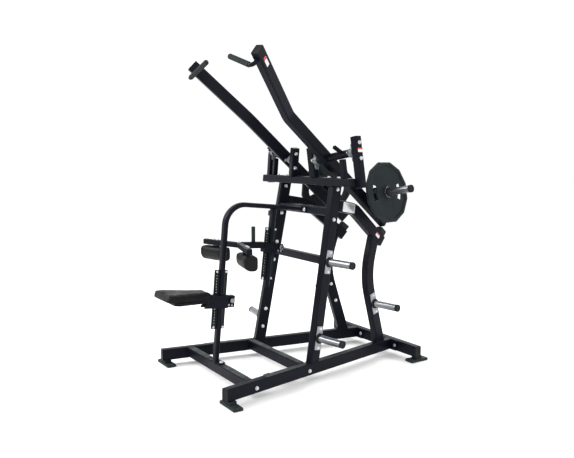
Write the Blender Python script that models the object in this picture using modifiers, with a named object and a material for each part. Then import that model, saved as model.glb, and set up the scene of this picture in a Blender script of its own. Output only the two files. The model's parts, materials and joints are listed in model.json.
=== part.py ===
"""Plate-loaded wide lat pulldown machine: a welded tube frame with two independent lever arms.

The user sits facing +Y. X = 0 is the plane of symmetry, Z = 0 is the floor. Every part of the
right side is modelled once and mirrored for the left side. Metres, +Z up.
"""
import bmesh
import bpy
from math import atan2, cos, pi, radians, sin, tan
from mathutils import Matrix, Vector

# ---- overall layout (Y = 0 is the front edge of the front feet until the last step) ----
MIDDLE_Y = 0.6858            # middle of the footprint, moved to Y = 0 at the end
GAP = 0.0003                 # left between faces that touch
TUBE_W = 0.050               # main tube, across the side frame
TUBE_D = 0.075               # main tube, in the plane of the side frame
WALL = 0.004
CORNER = 0.007               # outside radius of the tube's corners

# ---- side frames: toed in towards the rear ----
TOE = radians(10.3)
SIDE_X = 0.440               # side frame's middle plane, from the machine's middle, before the toe
RAIL_TOP = 0.111
RAIL_FRONT = -0.087
REAR_CROSS_Y = (1.448, 1.498)
REAR_CROSS_HALF = 0.454
FRONT_CROSS_Y = 0.181
MIDDLE_CROSS_Y = 0.611
CROSS_D = 0.064
UPRIGHT_FOOT = 0.6145        # along the side frame
UPRIGHT_HEAD = 0.8145
HEAD_Z = 1.211               # underside of the head beam
BRACE_BEND = (0.987, 1.055)  # along the side frame, height
BRACE_END = (1.277, 0.815)
BRACE_START = (0.790, 1.090)
LEG_FOOT = (1.277, RAIL_TOP)
LEG_BEND = (1.126, 0.600)
LEG_HEAD = (1.224, 0.930)
LOWER_TIE_Z = 0.740
UPPER_TIE = (0.856, 1.046)
BUMPER = (0.046, 0.062, 0.0362)   # rubber block under the resting arm
BUMPER_BACK = 0.040

# ---- head beam and pivots ----
HEAD_Y = 0.862
HEAD_H = 0.050
POST = 0.050
PIVOT = Vector((0.228, 0.853, 1.382))
PIVOT_TOE = radians(9.5)
PIVOT_RISE = radians(9.5)
INNER_POST_X = (-0.149, -0.099)
OUTER_POST_X = (0.235, 0.285)
OUTER_POST_Z = (-0.222, 0.092)
INNER_POST_TOP = 0.088
SHAFT_R = 0.0125
HUB_R = 0.025
HUB_X = (-0.064, 0.200)
BEARING_T = 0.030
STOP_POST_X = 0.150
STOP_POST_Y = -0.017
STOP_POST_TOP = -0.031

# ---- lever arms, in the pivot's own frame ----
ARM_SLOPE = radians(41.7)
ARM_REAR = 0.665
ARM_BEND = 0.388
ARM_FLARE = Vector((0.178, -0.351, 0.321))
HANDLE_R = 0.0125
GRIP_R = 0.0165
HORN_Y = 0.400
HORN_Z = -0.249
HORN_TIP = 0.334
HORN_R = 0.024
PLATE_X = 0.1185
PLATE_T = 0.028
PLATE_R = 0.207
PLATE_SIDES = 12
PLATE_BORE_R = 0.0258

# ---- seat and thigh posts ----
POST_LEAN = radians(5.2)
FLAT_D = 0.030               # flat tube of the two posts
SEAT_POST_FOOT = 0.1665
SEAT_POST_CORNER = (0.257, 1.106)
SEAT_POST_BEND = 0.130
SEAT_POST_END_Y = 0.8175
SEAT_POST_FALL = 0.1019      # drop of the upper run per metre towards the rear
THIGH_LEAN = radians(6.6)
THIGH_TOP = Vector((0.0, 0.5960, 1.0400))
THIGH_LENGTH = 0.492
RACK_T = 0.010
RACK_HOLE_R = 0.0042
RACK_PITCH = 0.0175
HOLE_SIDES = 8
SEAT_RACK = (0.215, 0.585)   # heights along the seat post
PIN_BEHIND = 0.030           # pull pin's axis behind the sleeve's inside face
SEAT_AT = 0.388              # carriage's middle, along the post from its foot
SEAT_HALF = (0.128, 0.074)   # half widths at the front and rear edges
SEAT_LENGTH = 0.320
SEAT_T = 0.044
DECK_T = 0.016
DECK_TOP = 0.017
DECK_INSET = (0.012, 0.052)  # from the pad's edge, at the sides and at the front
THIGH_RACK = (0.105, 0.445)  # distances down the thigh post
THIGH_AT = 0.235
PAD_SIZE = (0.205, 0.088, 0.098)
PAD_AT = Vector((0.205, 0.280, 0.768))
PAD_YAW = radians(15)
YOKE_Z = 0.840

# ---- feet and storage horns ----
FOOT_T = 0.018
RAIL_BOTTOM = RAIL_TOP - TUBE_D
STORAGE_R = 0.0235
STORAGE_LENGTH = 0.205

FINISHES = {
    "paint": ((0.012, 0.012, 0.017), 0.32, 0.0),
    "rubber": ((0.035, 0.048, 0.046), 0.70, 0.0),
    "zinc": ((0.50, 0.51, 0.55), 0.35, 0.9),
    "plate": ((0.050, 0.062, 0.062), 0.50, 0.2),
    "bearing": ((0.42, 0.46, 0.47), 0.45, 0.3),
    "vinyl": ((0.020, 0.020, 0.021), 0.42, 0.0),
}
FLIP = Matrix.Diagonal((-1.0, 1.0, 1.0, 1.0))
STAND_UP = Matrix(((0, 0, 1, 0), (1, 0, 0, 0), (0, 1, 0, 0), (0, 0, 0, 1)))   # plane XY to YZ


# ---------------------------------------------------------------- scene helpers
def clear_scene():
    for obj in list(bpy.data.objects):
        bpy.data.objects.remove(obj, do_unlink=True)


def collection(name):
    made = bpy.data.collections.new(name)
    bpy.context.scene.collection.children.link(made)
    return made


def finish_material(name, finish):
    color, roughness, metallic = FINISHES[finish]
    material = bpy.data.materials.new(name + "_" + finish)
    material.use_nodes = True
    shader = material.node_tree.nodes["Principled BSDF"]
    shader.inputs["Base Color"].default_value = (*color, 1.0)
    shader.inputs["Roughness"].default_value = roughness
    shader.inputs["Metallic"].default_value = metallic
    return material


def part(name, mesh, finish, frame=Matrix()):
    """One sub-part: its mesh is in the local coordinates of the given frame."""
    mesh.name = name
    mesh.materials.clear()
    mesh.materials.append(finish_material(name, finish))
    mesh.shade_smooth()
    mesh.set_sharp_from_angle(angle=radians(32))
    obj = bpy.data.objects.new(name, mesh)
    obj.matrix_world = frame
    PARTS.objects.link(obj)
    return obj


def mirrored(obj, name, finish):
    """The left-hand twin of a right-hand part."""
    mesh = obj.data.copy()
    mesh.transform(FLIP)
    mesh.flip_normals()
    return part(name, mesh, finish, FLIP @ obj.matrix_world @ FLIP)


def both_sides(name, mesh, finish, frame=Matrix()):
    right = part(name + "_right", mesh, finish, frame)
    mirrored(right, name + "_left", finish)


def mesh_from(bm):
    bmesh.ops.remove_doubles(bm, verts=bm.verts, dist=0.00001)
    bmesh.ops.recalc_face_normals(bm, faces=bm.faces)
    mesh = bpy.data.meshes.new("mesh")
    bm.to_mesh(mesh)
    bm.free()
    return mesh


def evaluated(obj):
    """The object's mesh with its modifiers, after which the object is dropped."""
    bpy.context.view_layer.update()
    graph = bpy.context.evaluated_depsgraph_get()
    mesh = bpy.data.meshes.new_from_object(obj.evaluated_get(graph))
    mesh.transform(obj.matrix_world)
    bpy.data.objects.remove(obj, do_unlink=True)
    bm = bmesh.new()
    bm.from_mesh(mesh)
    bmesh.ops.remove_doubles(bm, verts=bm.verts, dist=0.00001)
    bm.to_mesh(mesh)
    bm.free()
    return mesh


def scratch(mesh):
    obj = bpy.data.objects.new("scratch", mesh)
    CUTTERS.objects.link(obj)
    return obj


def combine(base, tools, operation):
    """Boolean of one mesh with several others."""
    obj = scratch(base)
    helpers = [scratch(tool) for tool in tools]
    for helper in helpers:
        modifier = obj.modifiers.new("boolean", "BOOLEAN")
        modifier.operation = operation
        modifier.solver = "EXACT"
        modifier.object = helper
    mesh = evaluated(obj)
    for helper in helpers:
        bpy.data.objects.remove(helper, do_unlink=True)
    return mesh


def moved(mesh, matrix):
    mesh.transform(matrix)
    return mesh


def at(x, y, z):
    return Matrix.Translation((x, y, z))


def beveled(mesh, width, segments=2, angle=40):
    obj = scratch(mesh)
    bevel = obj.modifiers.new("bevel", "BEVEL")
    bevel.width = width
    bevel.segments = segments
    bevel.angle_limit = radians(angle)
    return evaluated(obj)


# ---------------------------------------------------------------- shapes
def rounded_ring(width, depth, radius, steps=3):
    """Corner points of a rounded rectangle, counter-clockwise."""
    points = []
    for index, (sx, sy) in enumerate(((1, 1), (-1, 1), (-1, -1), (1, -1))):
        for step in range(steps + 1):
            angle = (index + step / steps) * pi / 2
            x = sx * (width / 2 - radius) + radius * cos(angle)
            y = sy * (depth / 2 - radius) + radius * sin(angle)
            points.append((x, y))
    return points


def box(width, depth, height, bevel=0.0):
    bm = bmesh.new()
    bmesh.ops.create_cube(bm, size=1.0, matrix=Matrix.Diagonal((width, depth, height, 1.0)))
    mesh = mesh_from(bm)
    return beveled(mesh, bevel) if bevel else mesh


def cylinder(radius, start, end, segments=24):
    """A cylinder along local X."""
    bm = bmesh.new()
    place = at((start + end) / 2, 0, 0) @ Matrix.Rotation(pi / 2, 4, "Y")
    bmesh.ops.create_cone(bm, cap_ends=True, segments=segments, radius1=radius, radius2=radius,
                          depth=end - start, matrix=place)
    return mesh_from(bm)


def turned(profile, steps=28):
    """A turned solid about local X; the profile holds (x, radius) points from tip to root."""
    bm = bmesh.new()
    verts = [bm.verts.new((radius, 0, x)) for x, radius in profile]
    for first, second in zip(verts, verts[1:]):
        bm.edges.new((first, second))
    mesh = bpy.data.meshes.new("profile")
    bm.to_mesh(mesh)
    bm.free()
    obj = scratch(mesh)
    screw = obj.modifiers.new("turn", "SCREW")
    screw.steps = steps
    screw.render_steps = steps
    screw.use_merge_vertices = True
    screw.merge_threshold = 0.00001
    mesh = evaluated(obj)
    return moved(mesh, Matrix.Rotation(pi / 2, 4, "Y"))


def slab(outline, thickness, holes=()):
    """A flat plate: closed outline in local YZ, centred on X = 0, with round holes (y, z, r)."""
    curve = bpy.data.curves.new("outline", "CURVE")
    curve.dimensions = "2D"
    curve.fill_mode = "BOTH"
    curve.extrude = thickness / 2
    rings = [outline]
    for y, z, radius in holes:
        angles = [2 * pi * step / HOLE_SIDES for step in range(HOLE_SIDES)]
        rings.append([(y + radius * cos(a), z + radius * sin(a)) for a in angles])
    for ring in rings:
        spline = curve.splines.new("POLY")
        spline.points.add(len(ring) - 1)
        for point, (y, z) in zip(spline.points, ring):
            point.co = (y, z, 0, 1)
        spline.use_cyclic_u = True
    obj = bpy.data.objects.new("outline", curve)
    CUTTERS.objects.link(obj)
    bpy.context.view_layer.update()
    graph = bpy.context.evaluated_depsgraph_get()
    mesh = bpy.data.meshes.new_from_object(obj.evaluated_get(graph))
    bpy.data.objects.remove(obj, do_unlink=True)
    bm = bmesh.new()
    bm.from_mesh(mesh)
    bmesh.ops.transform(bm, verts=bm.verts, matrix=STAND_UP)
    return mesh_from(bm)


def hull_outline(discs, steps=10):
    """Outline around two discs (y, z, r), as a belt would lie."""
    (y0, z0, r0), (y1, z1, r1) = discs
    heading = atan2(z1 - z0, y1 - y0)
    points = []
    for y, z, radius, start in ((y1, z1, r1, heading - pi / 2), (y0, z0, r0, heading + pi / 2)):
        for step in range(steps + 1):
            angle = start + pi * step / steps
            points.append((y + radius * cos(angle), z + radius * sin(angle)))
    return points


def slide_to_plane(verts, direction, plane):
    point, normal = plane
    for vert in verts:
        vert.co += direction * ((point - vert.co).dot(normal) / direction.dot(normal))


def swept_bar(points, side, section, bend=0.05, wall=WALL, corner=CORNER, start=None, end=None,
              bend_steps=5):
    """A straight or bent bar or tube along the points.

    section is (size along side, size across it). A wall makes it a tube with open ends. start
    and end are optional (point, normal) planes that mitre the two ends.
    """
    points = [Vector(point) for point in points]
    heading = (points[1] - points[0]).normalized()
    side = (Vector(side) - heading * heading.dot(Vector(side))).normalized()
    up = heading.cross(side)
    bm = bmesh.new()
    rings = []
    for inset in ((0.0, wall) if wall else (0.0,)):
        width, depth = (size - 2 * inset for size in section)
        outline = rounded_ring(width, depth, max(corner - inset, 0.001))
        rings.append([bm.verts.new(points[0] + side * x + up * y) for x, y in outline])
    if start:
        slide_to_plane(bm.verts, heading, start)
    if wall:
        outer, inner = rings
        faces = [bm.faces.new((outer[index - 1], outer[index], inner[index], inner[index - 1]))
                 for index in range(len(outer))]
    else:
        faces = [bm.faces.new(rings[0])]
    sweep_section(bm, faces, points, bend, bend_steps, end)
    return mesh_from(bm)


def sweep_section(bm, faces, points, bend, bend_steps, end):
    """Extrude the section along each run and spin it round each corner."""
    heading = (points[1] - points[0]).normalized()
    cursor = points[0].copy()
    for index in range(1, len(points)):
        corner = index < len(points) - 1
        setback = 0.0
        if corner:
            following = (points[index + 1] - points[index]).normalized()
            angle = heading.angle(following)
            setback = bend * tan(angle / 2)
        target = points[index] - heading * setback
        made = bmesh.ops.extrude_face_region(bm, geom=faces)["geom"]
        if index > 1:
            bmesh.ops.delete(bm, geom=[face for face in faces if face.is_valid], context="FACES_ONLY")
        faces = [item for item in made if isinstance(item, bmesh.types.BMFace)]
        verts = [item for item in made if isinstance(item, bmesh.types.BMVert)]
        if index == 1:
            slide_to_plane(verts, heading, (target, heading))
        else:
            bmesh.ops.translate(bm, verts=verts, vec=target - cursor)
        if corner:
            axis = heading.cross(following).normalized()
            centre = target + axis.cross(heading) * bend
            turn = bmesh.ops.spin(bm, geom=faces, cent=centre, axis=axis, angle=angle,
                                  steps=bend_steps, dvec=(0, 0, 0))
            bmesh.ops.delete(bm, geom=[face for face in faces if face.is_valid], context="FACES_ONLY")
            faces = [item for item in turn["geom_last"] if isinstance(item, bmesh.types.BMFace)]
            cursor = points[index] + following * setback
            heading = following
    if end:
        slide_to_plane(verts, heading, end)
    loose = [edge for edge in bm.edges if not edge.link_faces]
    bmesh.ops.delete(bm, geom=loose, context="EDGES")


# ---------------------------------------------------------------- frames
def side_frame():
    return Matrix.Rotation(TOE, 4, "Z") @ at(SIDE_X, 0, 0)


def pivot_frame():
    return (at(*PIVOT) @ Matrix.Rotation(PIVOT_TOE, 4, "Z")
            @ Matrix.Rotation(-PIVOT_RISE, 4, "Y"))


def side_plane(offset):
    """The side frame's plane, moved sideways: a point and its normal, in machine coordinates."""
    frame = side_frame()
    normal = frame.to_3x3() @ Vector((1, 0, 0))
    return frame @ Vector((offset, 0, 0)), normal


def flipped(plane):
    point, normal = plane
    return FLIP @ point, FLIP.to_3x3() @ normal


def seat_frame(distance):
    """On the seat post's axis, this far from its foot: local Z runs up the post."""
    tilt = Matrix.Rotation(-POST_LEAN, 4, "X")
    return at(0, SEAT_POST_FOOT, RAIL_TOP) @ tilt @ at(0, 0, distance)


def thigh_frame(distance):
    """On the thigh post's axis, this far below its top."""
    tilt = Matrix.Rotation(-THIGH_LEAN, 4, "X")
    return at(*THIGH_TOP) @ tilt @ at(0, 0, -distance)


# ---------------------------------------------------------------- base and side frames
def base():
    frame = side_frame()
    half = TUBE_W / 2
    level = RAIL_TOP - TUBE_D / 2
    rear = frame.inverted() @ Vector((0, REAR_CROSS_Y[0] - GAP, 0))
    rear_normal = frame.to_3x3().inverted() @ Vector((0, 1, 0))
    rail = swept_bar([(0, RAIL_FRONT, level), (0, 1.380, level)], (1, 0, 0), (TUBE_W, TUBE_D),
                     end=(rear, rear_normal))
    both_sides("base_rail", rail, "paint", frame)

    inner = side_plane(-half - GAP)
    for name, y in (("front_cross", FRONT_CROSS_Y), ("middle_cross", MIDDLE_CROSS_Y)):
        z = RAIL_TOP - CROSS_D / 2
        beam = swept_bar([(-0.2, y, z), (0.2, y, z)], (0, 1, 0), (TUBE_W, CROSS_D),
                         start=flipped(inner), end=inner)
        part(name, beam, "paint")
    middle = sum(REAR_CROSS_Y) / 2
    beam = swept_bar([(-REAR_CROSS_HALF, middle, level), (REAR_CROSS_HALF, middle, level)],
                     (0, 1, 0), (TUBE_W, TUBE_D))
    part("rear_cross", beam, "paint")


def foot(length_x, length_y):
    pad = beveled(box(length_x, length_y, FOOT_T), 0.004)
    top = RAIL_BOTTOM - GAP
    spacer = moved(box(0.046, 0.046, top), at(0, 0, (top - FOOT_T) / 2))
    return combine(pad, [spacer], "UNION")


def feet():
    both_sides("front_foot", foot(0.172, 0.061), "rubber", at(0.452, 0.0305, FOOT_T / 2))
    both_sides("rear_foot", foot(0.071, 0.148), "rubber", at(0.4185, 1.494, FOOT_T / 2))


def uprights():
    frame = side_frame()
    up = Vector((0, 0, 1))
    upright = swept_bar([(0, UPRIGHT_FOOT, RAIL_TOP), (0, UPRIGHT_HEAD, HEAD_Z)], (1, 0, 0),
                        (TUBE_W, TUBE_D), start=(Vector((0, 0, RAIL_TOP + GAP)), up),
                        end=(Vector((0, 0, HEAD_Z - GAP)), up))
    both_sides("upright", upright, "paint", frame)

    lean = Vector((0, UPRIGHT_HEAD - UPRIGHT_FOOT, HEAD_Z - RAIL_TOP)).normalized()
    rearward = Vector((0, lean.z, -lean.y))
    face = Vector((0, UPRIGHT_FOOT, RAIL_TOP)) + rearward * (TUBE_D / 2 + GAP)
    brace = swept_bar([(0, *BRACE_START), (0, *BRACE_BEND), (0, *BRACE_END)], (1, 0, 0),
                      (TUBE_W, TUBE_D), bend=0.16, start=(face, rearward))
    both_sides("upper_brace", brace, "paint", frame)

    slope = (Vector((0, *BRACE_END)) - Vector((0, *BRACE_BEND))).normalized()
    below = Vector((0, slope.z, -slope.y))
    underside = Vector((0, *BRACE_END)) + below * (TUBE_D / 2 + GAP)
    leg = swept_bar([(0, *LEG_FOOT), (0, *LEG_BEND), (0, *LEG_HEAD)], (1, 0, 0),
                    (TUBE_W, TUBE_D), bend=0.45, start=(Vector((0, 0, RAIL_TOP + GAP)), up),
                    end=(underside, below))
    both_sides("rear_leg", leg, "paint", frame)

    # a rubber block on the brace's rear end, under the resting arm
    height = BUMPER[2]
    block = beveled(box(*BUMPER), 0.005)
    spot = Vector((0, *BRACE_END)) - slope * BUMPER_BACK - below * (TUBE_D / 2 + GAP + height / 2)
    turn = Matrix.Rotation(atan2(slope.z, slope.y), 4, "X")
    both_sides("rest_bumper", block, "rubber", frame @ at(*spot) @ turn)


def ties():
    inner = side_plane(-TUBE_W / 2 - GAP)
    y, z = UPPER_TIE
    level_y = SIDE_X * sin(TOE) + cos(TOE) * (
        UPRIGHT_FOOT + (UPRIGHT_HEAD - UPRIGHT_FOOT) * (LOWER_TIE_Z - RAIL_TOP) / (HEAD_Z - RAIL_TOP))
    for name, centre, section in (("lower_tie", (level_y, LOWER_TIE_Z), (0.050, 0.050)),
                                  ("upper_tie", (y, z), (0.075, 0.050))):
        tie = swept_bar([(-0.15, *centre), (0.15, *centre)], (0, 1, 0), section,
                        start=flipped(inner), end=inner)
        part(name, tie, "paint")


# ---------------------------------------------------------------- head beam and pivots
def head_beam():
    frame = pivot_frame()
    normal = frame.to_3x3() @ Vector((1, 0, 0))
    end = (frame @ Vector((OUTER_POST_X[0] - GAP, 0, 0)), normal)
    z = HEAD_Z + HEAD_H / 2
    beam = swept_bar([(-0.3, HEAD_Y, z), (0.3, HEAD_Y, z)], (0, 1, 0), (0.076, HEAD_H),
                     start=flipped(end), end=end)
    part("head_beam", beam, "paint")


def head_posts():
    frame = pivot_frame()
    floor_point = frame.inverted() @ Vector((*PIVOT.xy, HEAD_Z + HEAD_H + GAP))
    floor_normal = frame.to_3x3().inverted() @ Vector((0, 0, 1))
    floor = (floor_point, floor_normal)
    x = sum(OUTER_POST_X) / 2
    outer = swept_bar([(x, 0, OUTER_POST_Z[0]), (x, 0, OUTER_POST_Z[1])], (1, 0, 0), (POST, POST))
    both_sides("outer_post", outer, "paint", frame)

    x = sum(INNER_POST_X) / 2
    post = swept_bar([(x, 0, -0.1), (x, 0, INNER_POST_TOP)], (1, 0, 0), (POST, POST), wall=0.0,
                     start=floor)
    corner_z = (floor_point.z - x * floor_normal.x / floor_normal.z)
    web = slab([(0.020, -0.010), (0.024, -0.010), (0.088, corner_z + 0.004), (0.020, corner_z + 0.004)],
               0.010)
    inner = combine(post, [moved(web, at(x, 0, 0))], "UNION")
    both_sides("inner_post", inner, "paint", frame)

    stop = swept_bar([(STOP_POST_X, STOP_POST_Y, -0.1), (STOP_POST_X, STOP_POST_Y, STOP_POST_TOP)],
                     (1, 0, 0), (0.034, 0.032), wall=0.0, corner=0.004, start=floor)
    both_sides("stop_post", stop, "paint", frame)


def bearings():
    """Two-bolt flange bearings that carry the pivot shafts."""
    frame = pivot_frame()
    flange = slab(hull_outline([(0, -0.044, 0.014), (0, 0.044, 0.014)]), 0.012)
    boss = cylinder(0.028, -0.0058, BEARING_T - 0.006)
    bore = cylinder(SHAFT_R + GAP, -0.02, 0.05)
    housing = combine(combine(flange, [boss], "UNION"), [bore], "DIFFERENCE")
    inner = moved(housing.copy(), at(INNER_POST_X[1] + GAP + 0.006, 0, 0))
    outer = moved(housing, at(OUTER_POST_X[0] - GAP - 0.006, 0, 0) @ Matrix.Rotation(pi, 4, "Z"))
    both_sides("inner_bearing", inner, "bearing", frame)
    both_sides("outer_bearing", outer, "bearing", frame)
    shaft = cylinder(SHAFT_R, INNER_POST_X[1] + 2 * GAP, OUTER_POST_X[0] - 2 * GAP, 24)
    both_sides("pivot_shaft", shaft, "zinc", frame)


# ---------------------------------------------------------------- lever arms
def arm_points():
    rearward = Vector((0, cos(ARM_SLOPE), -sin(ARM_SLOPE)))
    bend = -rearward * ARM_BEND
    return [rearward * ARM_REAR, bend, bend + ARM_FLARE]


def arm():
    frame = pivot_frame()
    tube = swept_bar(arm_points(), (1, 0, 0), (TUBE_W, TUBE_D), bend=0.12)
    hub = cylinder(HUB_R, *HUB_X)
    reach = 0.094
    lug = slab([(0, -0.009), (reach, -0.009), (reach, 0.009), (0, 0.009)], 0.020)
    lug = moved(lug, at(STOP_POST_X, 0, 0) @ Matrix.Rotation(radians(150), 4, "X"))
    lever = combine(tube, [hub, lug], "UNION")
    lever = combine(lever, [cylinder(SHAFT_R + GAP, -0.1, 0.25)], "DIFFERENCE")
    both_sides("arm", lever, "paint", frame)


def handles():
    """A bent bar welded under each arm's tip, with a rubber grip pointing inwards."""
    frame = pivot_frame()
    bend, tip = arm_points()[1:]
    along = (tip - bend).normalized()
    side = (Vector((1, 0, 0)) - along * along.x).normalized()
    under = side.cross(along)
    if under.z > 0:
        under.negate()
    root = tip - along * 0.045 + under * (TUBE_D / 2 + GAP)
    elbow = root + under * 0.050
    inward = (frame.inverted() @ Vector((0.117, 0.208, 1.984)) - elbow).normalized()
    grip_length = 0.238
    end = elbow + inward * (grip_length + 0.040)
    bar = swept_bar([root, elbow, end], side, (2 * HANDLE_R, 2 * HANDLE_R), bend=0.026, wall=0.0,
                    corner=HANDLE_R)
    both_sides("handle_bar", bar, "paint", frame)

    sleeve = cylinder(GRIP_R, 0, grip_length, 24)
    bore = cylinder(HANDLE_R + GAP, -0.01, grip_length - 0.004, 24)
    grip = combine(sleeve, [bore], "DIFFERENCE")
    start = end - inward * (grip_length - 0.004 - GAP)
    turn = Vector((1, 0, 0)).rotation_difference(inward).to_matrix().to_4x4()
    both_sides("handle_grip", grip, "rubber", frame @ at(*start) @ turn)


def weight_horn():
    frame = pivot_frame()
    arm_z = -HORN_Y * tan(ARM_SLOPE)
    bracket = slab(hull_outline([(HORN_Y - 0.012, arm_z - 0.003, 0.030), (HORN_Y, HORN_Z, 0.044)]), 0.010)
    bracket = moved(bracket, at(TUBE_W / 2 + GAP + 0.005, 0, 0))
    flange = PLATE_X - GAP
    profile = [(HORN_TIP, 0.0), (HORN_TIP, HORN_R - 0.003), (HORN_TIP - 0.003, HORN_R),
               (flange, HORN_R), (flange, 0.045), (flange - 0.008, 0.045), (flange - 0.010, 0.034),
               (TUBE_W / 2 + 0.004, 0.034), (TUBE_W / 2 + 0.004, 0.0)]
    horn = combine(bracket, [moved(turned(profile), at(0, HORN_Y, HORN_Z))], "UNION")
    both_sides("weight_horn", horn, "zinc", frame)


def grip_slot(side):
    """A curved hand slot through the plate."""
    outline = []
    for radius, sweep in ((0.147, 1), (0.107, -1)):
        for step in range(9):
            angle = sweep * radians(-24 + 48 * step / 8)
            outline.append((side * radius * cos(angle), radius * sin(angle)))
    return slab(outline, 0.1)


def weight_plate():
    frame = pivot_frame() @ at(PLATE_X, HORN_Y, HORN_Z)
    rim = PLATE_R
    web_r = PLATE_R - 0.022
    half_web = 0.006
    middle = PLATE_T / 2
    profile = [(middle + half_web, 0.0), (middle + half_web, web_r - 0.004),
               (PLATE_T, web_r), (PLATE_T, rim - 0.006), (PLATE_T - 0.006, rim), (0.006, rim),
               (0.0, rim - 0.006), (0.0, web_r), (middle - half_web, web_r - 0.004),
               (middle - half_web, 0.0)]
    disc = turned(profile, PLATE_SIDES)
    disc = moved(disc, Matrix.Rotation(pi / PLATE_SIDES, 4, "X"))
    hub = cylinder(0.047, 0.0, PLATE_T, 32)
    body = combine(disc, [hub], "UNION")
    tools = [cylinder(PLATE_BORE_R, -0.02, 0.06, 32), grip_slot(1), grip_slot(-1)]
    body = combine(body, tools, "DIFFERENCE")
    both_sides("weight_plate", body, "plate", frame)


# ---------------------------------------------------------------- storage horns
def storage_horns():
    frame = side_frame()
    face = TUBE_W / 2 + GAP
    tip = face + STORAGE_LENGTH
    profile = [(tip, 0.0), (tip, STORAGE_R - 0.003), (tip - 0.003, STORAGE_R),
               (face + 0.004, STORAGE_R), (face + 0.004, 0.0)]
    ring = rounded_ring(0.048, 0.148, 0.004)
    rise = (UPRIGHT_HEAD - UPRIGHT_FOOT) / (HEAD_Z - RAIL_TOP)
    spots = {
        "storage_horn_low": (UPRIGHT_FOOT + rise * (0.262 - RAIL_TOP), 0.262, atan2(-rise, 1)),
        "storage_horn_high": (UPRIGHT_FOOT + rise * (0.735 - RAIL_TOP), 0.735, atan2(-rise, 1)),
        "storage_horn_rear": (1.187, 0.398, radians(16)),
    }
    for name, (y, z, tilt) in spots.items():
        bracket = moved(slab(ring, 0.006), at(face + 0.003, 0, 0))
        horn = combine(bracket, [turned(profile, 24)], "UNION")
        both_sides(name, horn, "zinc", frame @ at(0, y, z) @ Matrix.Rotation(tilt, 4, "X"))


# ---------------------------------------------------------------- seat
def rack(length, depth):
    """A bar on edge with a row of pin holes."""
    count = int((length - RACK_PITCH / 2) / RACK_PITCH)
    first = -(count - 1) * RACK_PITCH / 2
    holes = [(0, first + RACK_PITCH * index, RACK_HOLE_R) for index in range(count)]
    outline = [(-depth / 2, -length / 2), (depth / 2, -length / 2), (depth / 2, length / 2),
               (-depth / 2, length / 2)]
    return slab(outline, RACK_T, holes)


def seat_post():
    foot_plane = (Vector((0, 0, RAIL_TOP + GAP)), Vector((0, 0, 1)))
    end_plane = (Vector((0, SEAT_POST_END_Y, 0)), Vector((0, 1, 0)))
    tail = (0, 0.85, SEAT_POST_CORNER[1] - SEAT_POST_FALL * (0.85 - SEAT_POST_CORNER[0]))
    foot_point = (0, SEAT_POST_FOOT, RAIL_TOP)
    post = swept_bar([foot_point, (0, *SEAT_POST_CORNER), tail], (1, 0, 0), (POST, FLAT_D),
                     bend=SEAT_POST_BEND, wall=0.0, corner=0.013, start=foot_plane, end=end_plane,
                     bend_steps=12)
    length = SEAT_RACK[1] - SEAT_RACK[0]
    centre = sum(SEAT_RACK) / 2
    front = moved(rack(length, 0.034), seat_frame(centre) @ at(0, -FLAT_D / 2 - 0.0165, 0))
    rear = moved(box(RACK_T, 0.024, length), seat_frame(centre) @ at(0, FLAT_D / 2 + 0.0115, 0))
    part("seat_post", combine(post, [front, rear], "UNION"), "paint")


def thigh_post():
    # the top is mitred to the underside of the seat post's upper run
    normal = Vector((0, SEAT_POST_FALL, 1)).normalized()
    run_z = SEAT_POST_CORNER[1] - SEAT_POST_FALL * (THIGH_TOP.y - SEAT_POST_CORNER[0])
    top_plane = (Vector((0, THIGH_TOP.y, run_z)) - normal * (FLAT_D / 2 + GAP), normal)
    lean = Vector((0, sin(THIGH_LEAN), cos(THIGH_LEAN)))
    post = swept_bar([THIGH_TOP - lean * THIGH_LENGTH, THIGH_TOP], (1, 0, 0), (POST, FLAT_D),
                     wall=0.0, corner=0.013, end=top_plane)
    length = THIGH_RACK[1] - THIGH_RACK[0]
    centre = sum(THIGH_RACK) / 2
    front = moved(rack(length, 0.030), thigh_frame(centre) @ at(0, -FLAT_D / 2 - 0.0145, 0))
    rear = moved(box(RACK_T, 0.024, length), thigh_frame(centre) @ at(0, FLAT_D / 2 + 0.0115, 0))
    part("thigh_post", combine(post, [front, rear], "UNION"), "paint")


def sleeve(height, front, rear):
    """A box sleeve that slides on a flat post and its two racks."""
    inner_w = POST + 0.002
    inner_d = rear - front
    wall = 0.006
    middle = (front + rear) / 2
    return swept_bar([(0, middle, -height / 2), (0, middle, height / 2)], (1, 0, 0),
                     (inner_w + 2 * wall, inner_d + 2 * wall), wall=wall)


def pin_block(height, rear, reach):
    """The bracket behind the sleeve that carries the pull pin."""
    block = moved(beveled(box(0.046, reach, height), 0.003), at(0, rear + 0.004 + reach / 2, 0))
    bore = moved(cylinder(0.0063, -0.001, 0.06), at(0, rear + PIN_BEHIND, 0.008))
    return combine(block, [bore], "DIFFERENCE")


def seat_outline(inset=0.0, front_inset=0.0):
    """The seat's outline seen from above, its rear edge at Y = 0, drawn in by the insets."""
    front_half, back_half = (half - inset for half in SEAT_HALF)
    front, back = front_inset - SEAT_LENGTH, -inset
    corner = 0.030
    corners = ((front_half, front, 1, -1), (back_half, back, 1, 1),
               (-back_half, back, -1, 1), (-front_half, front, -1, -1))
    outline = []
    for index, (x, y, sx, sy) in enumerate(corners):
        for step in range(6):
            angle = (index - 1 + step / 5) * pi / 2
            outline.append((x - sx * corner + corner * cos(angle),
                            y - sy * corner + corner * sin(angle)))
    return outline


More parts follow.
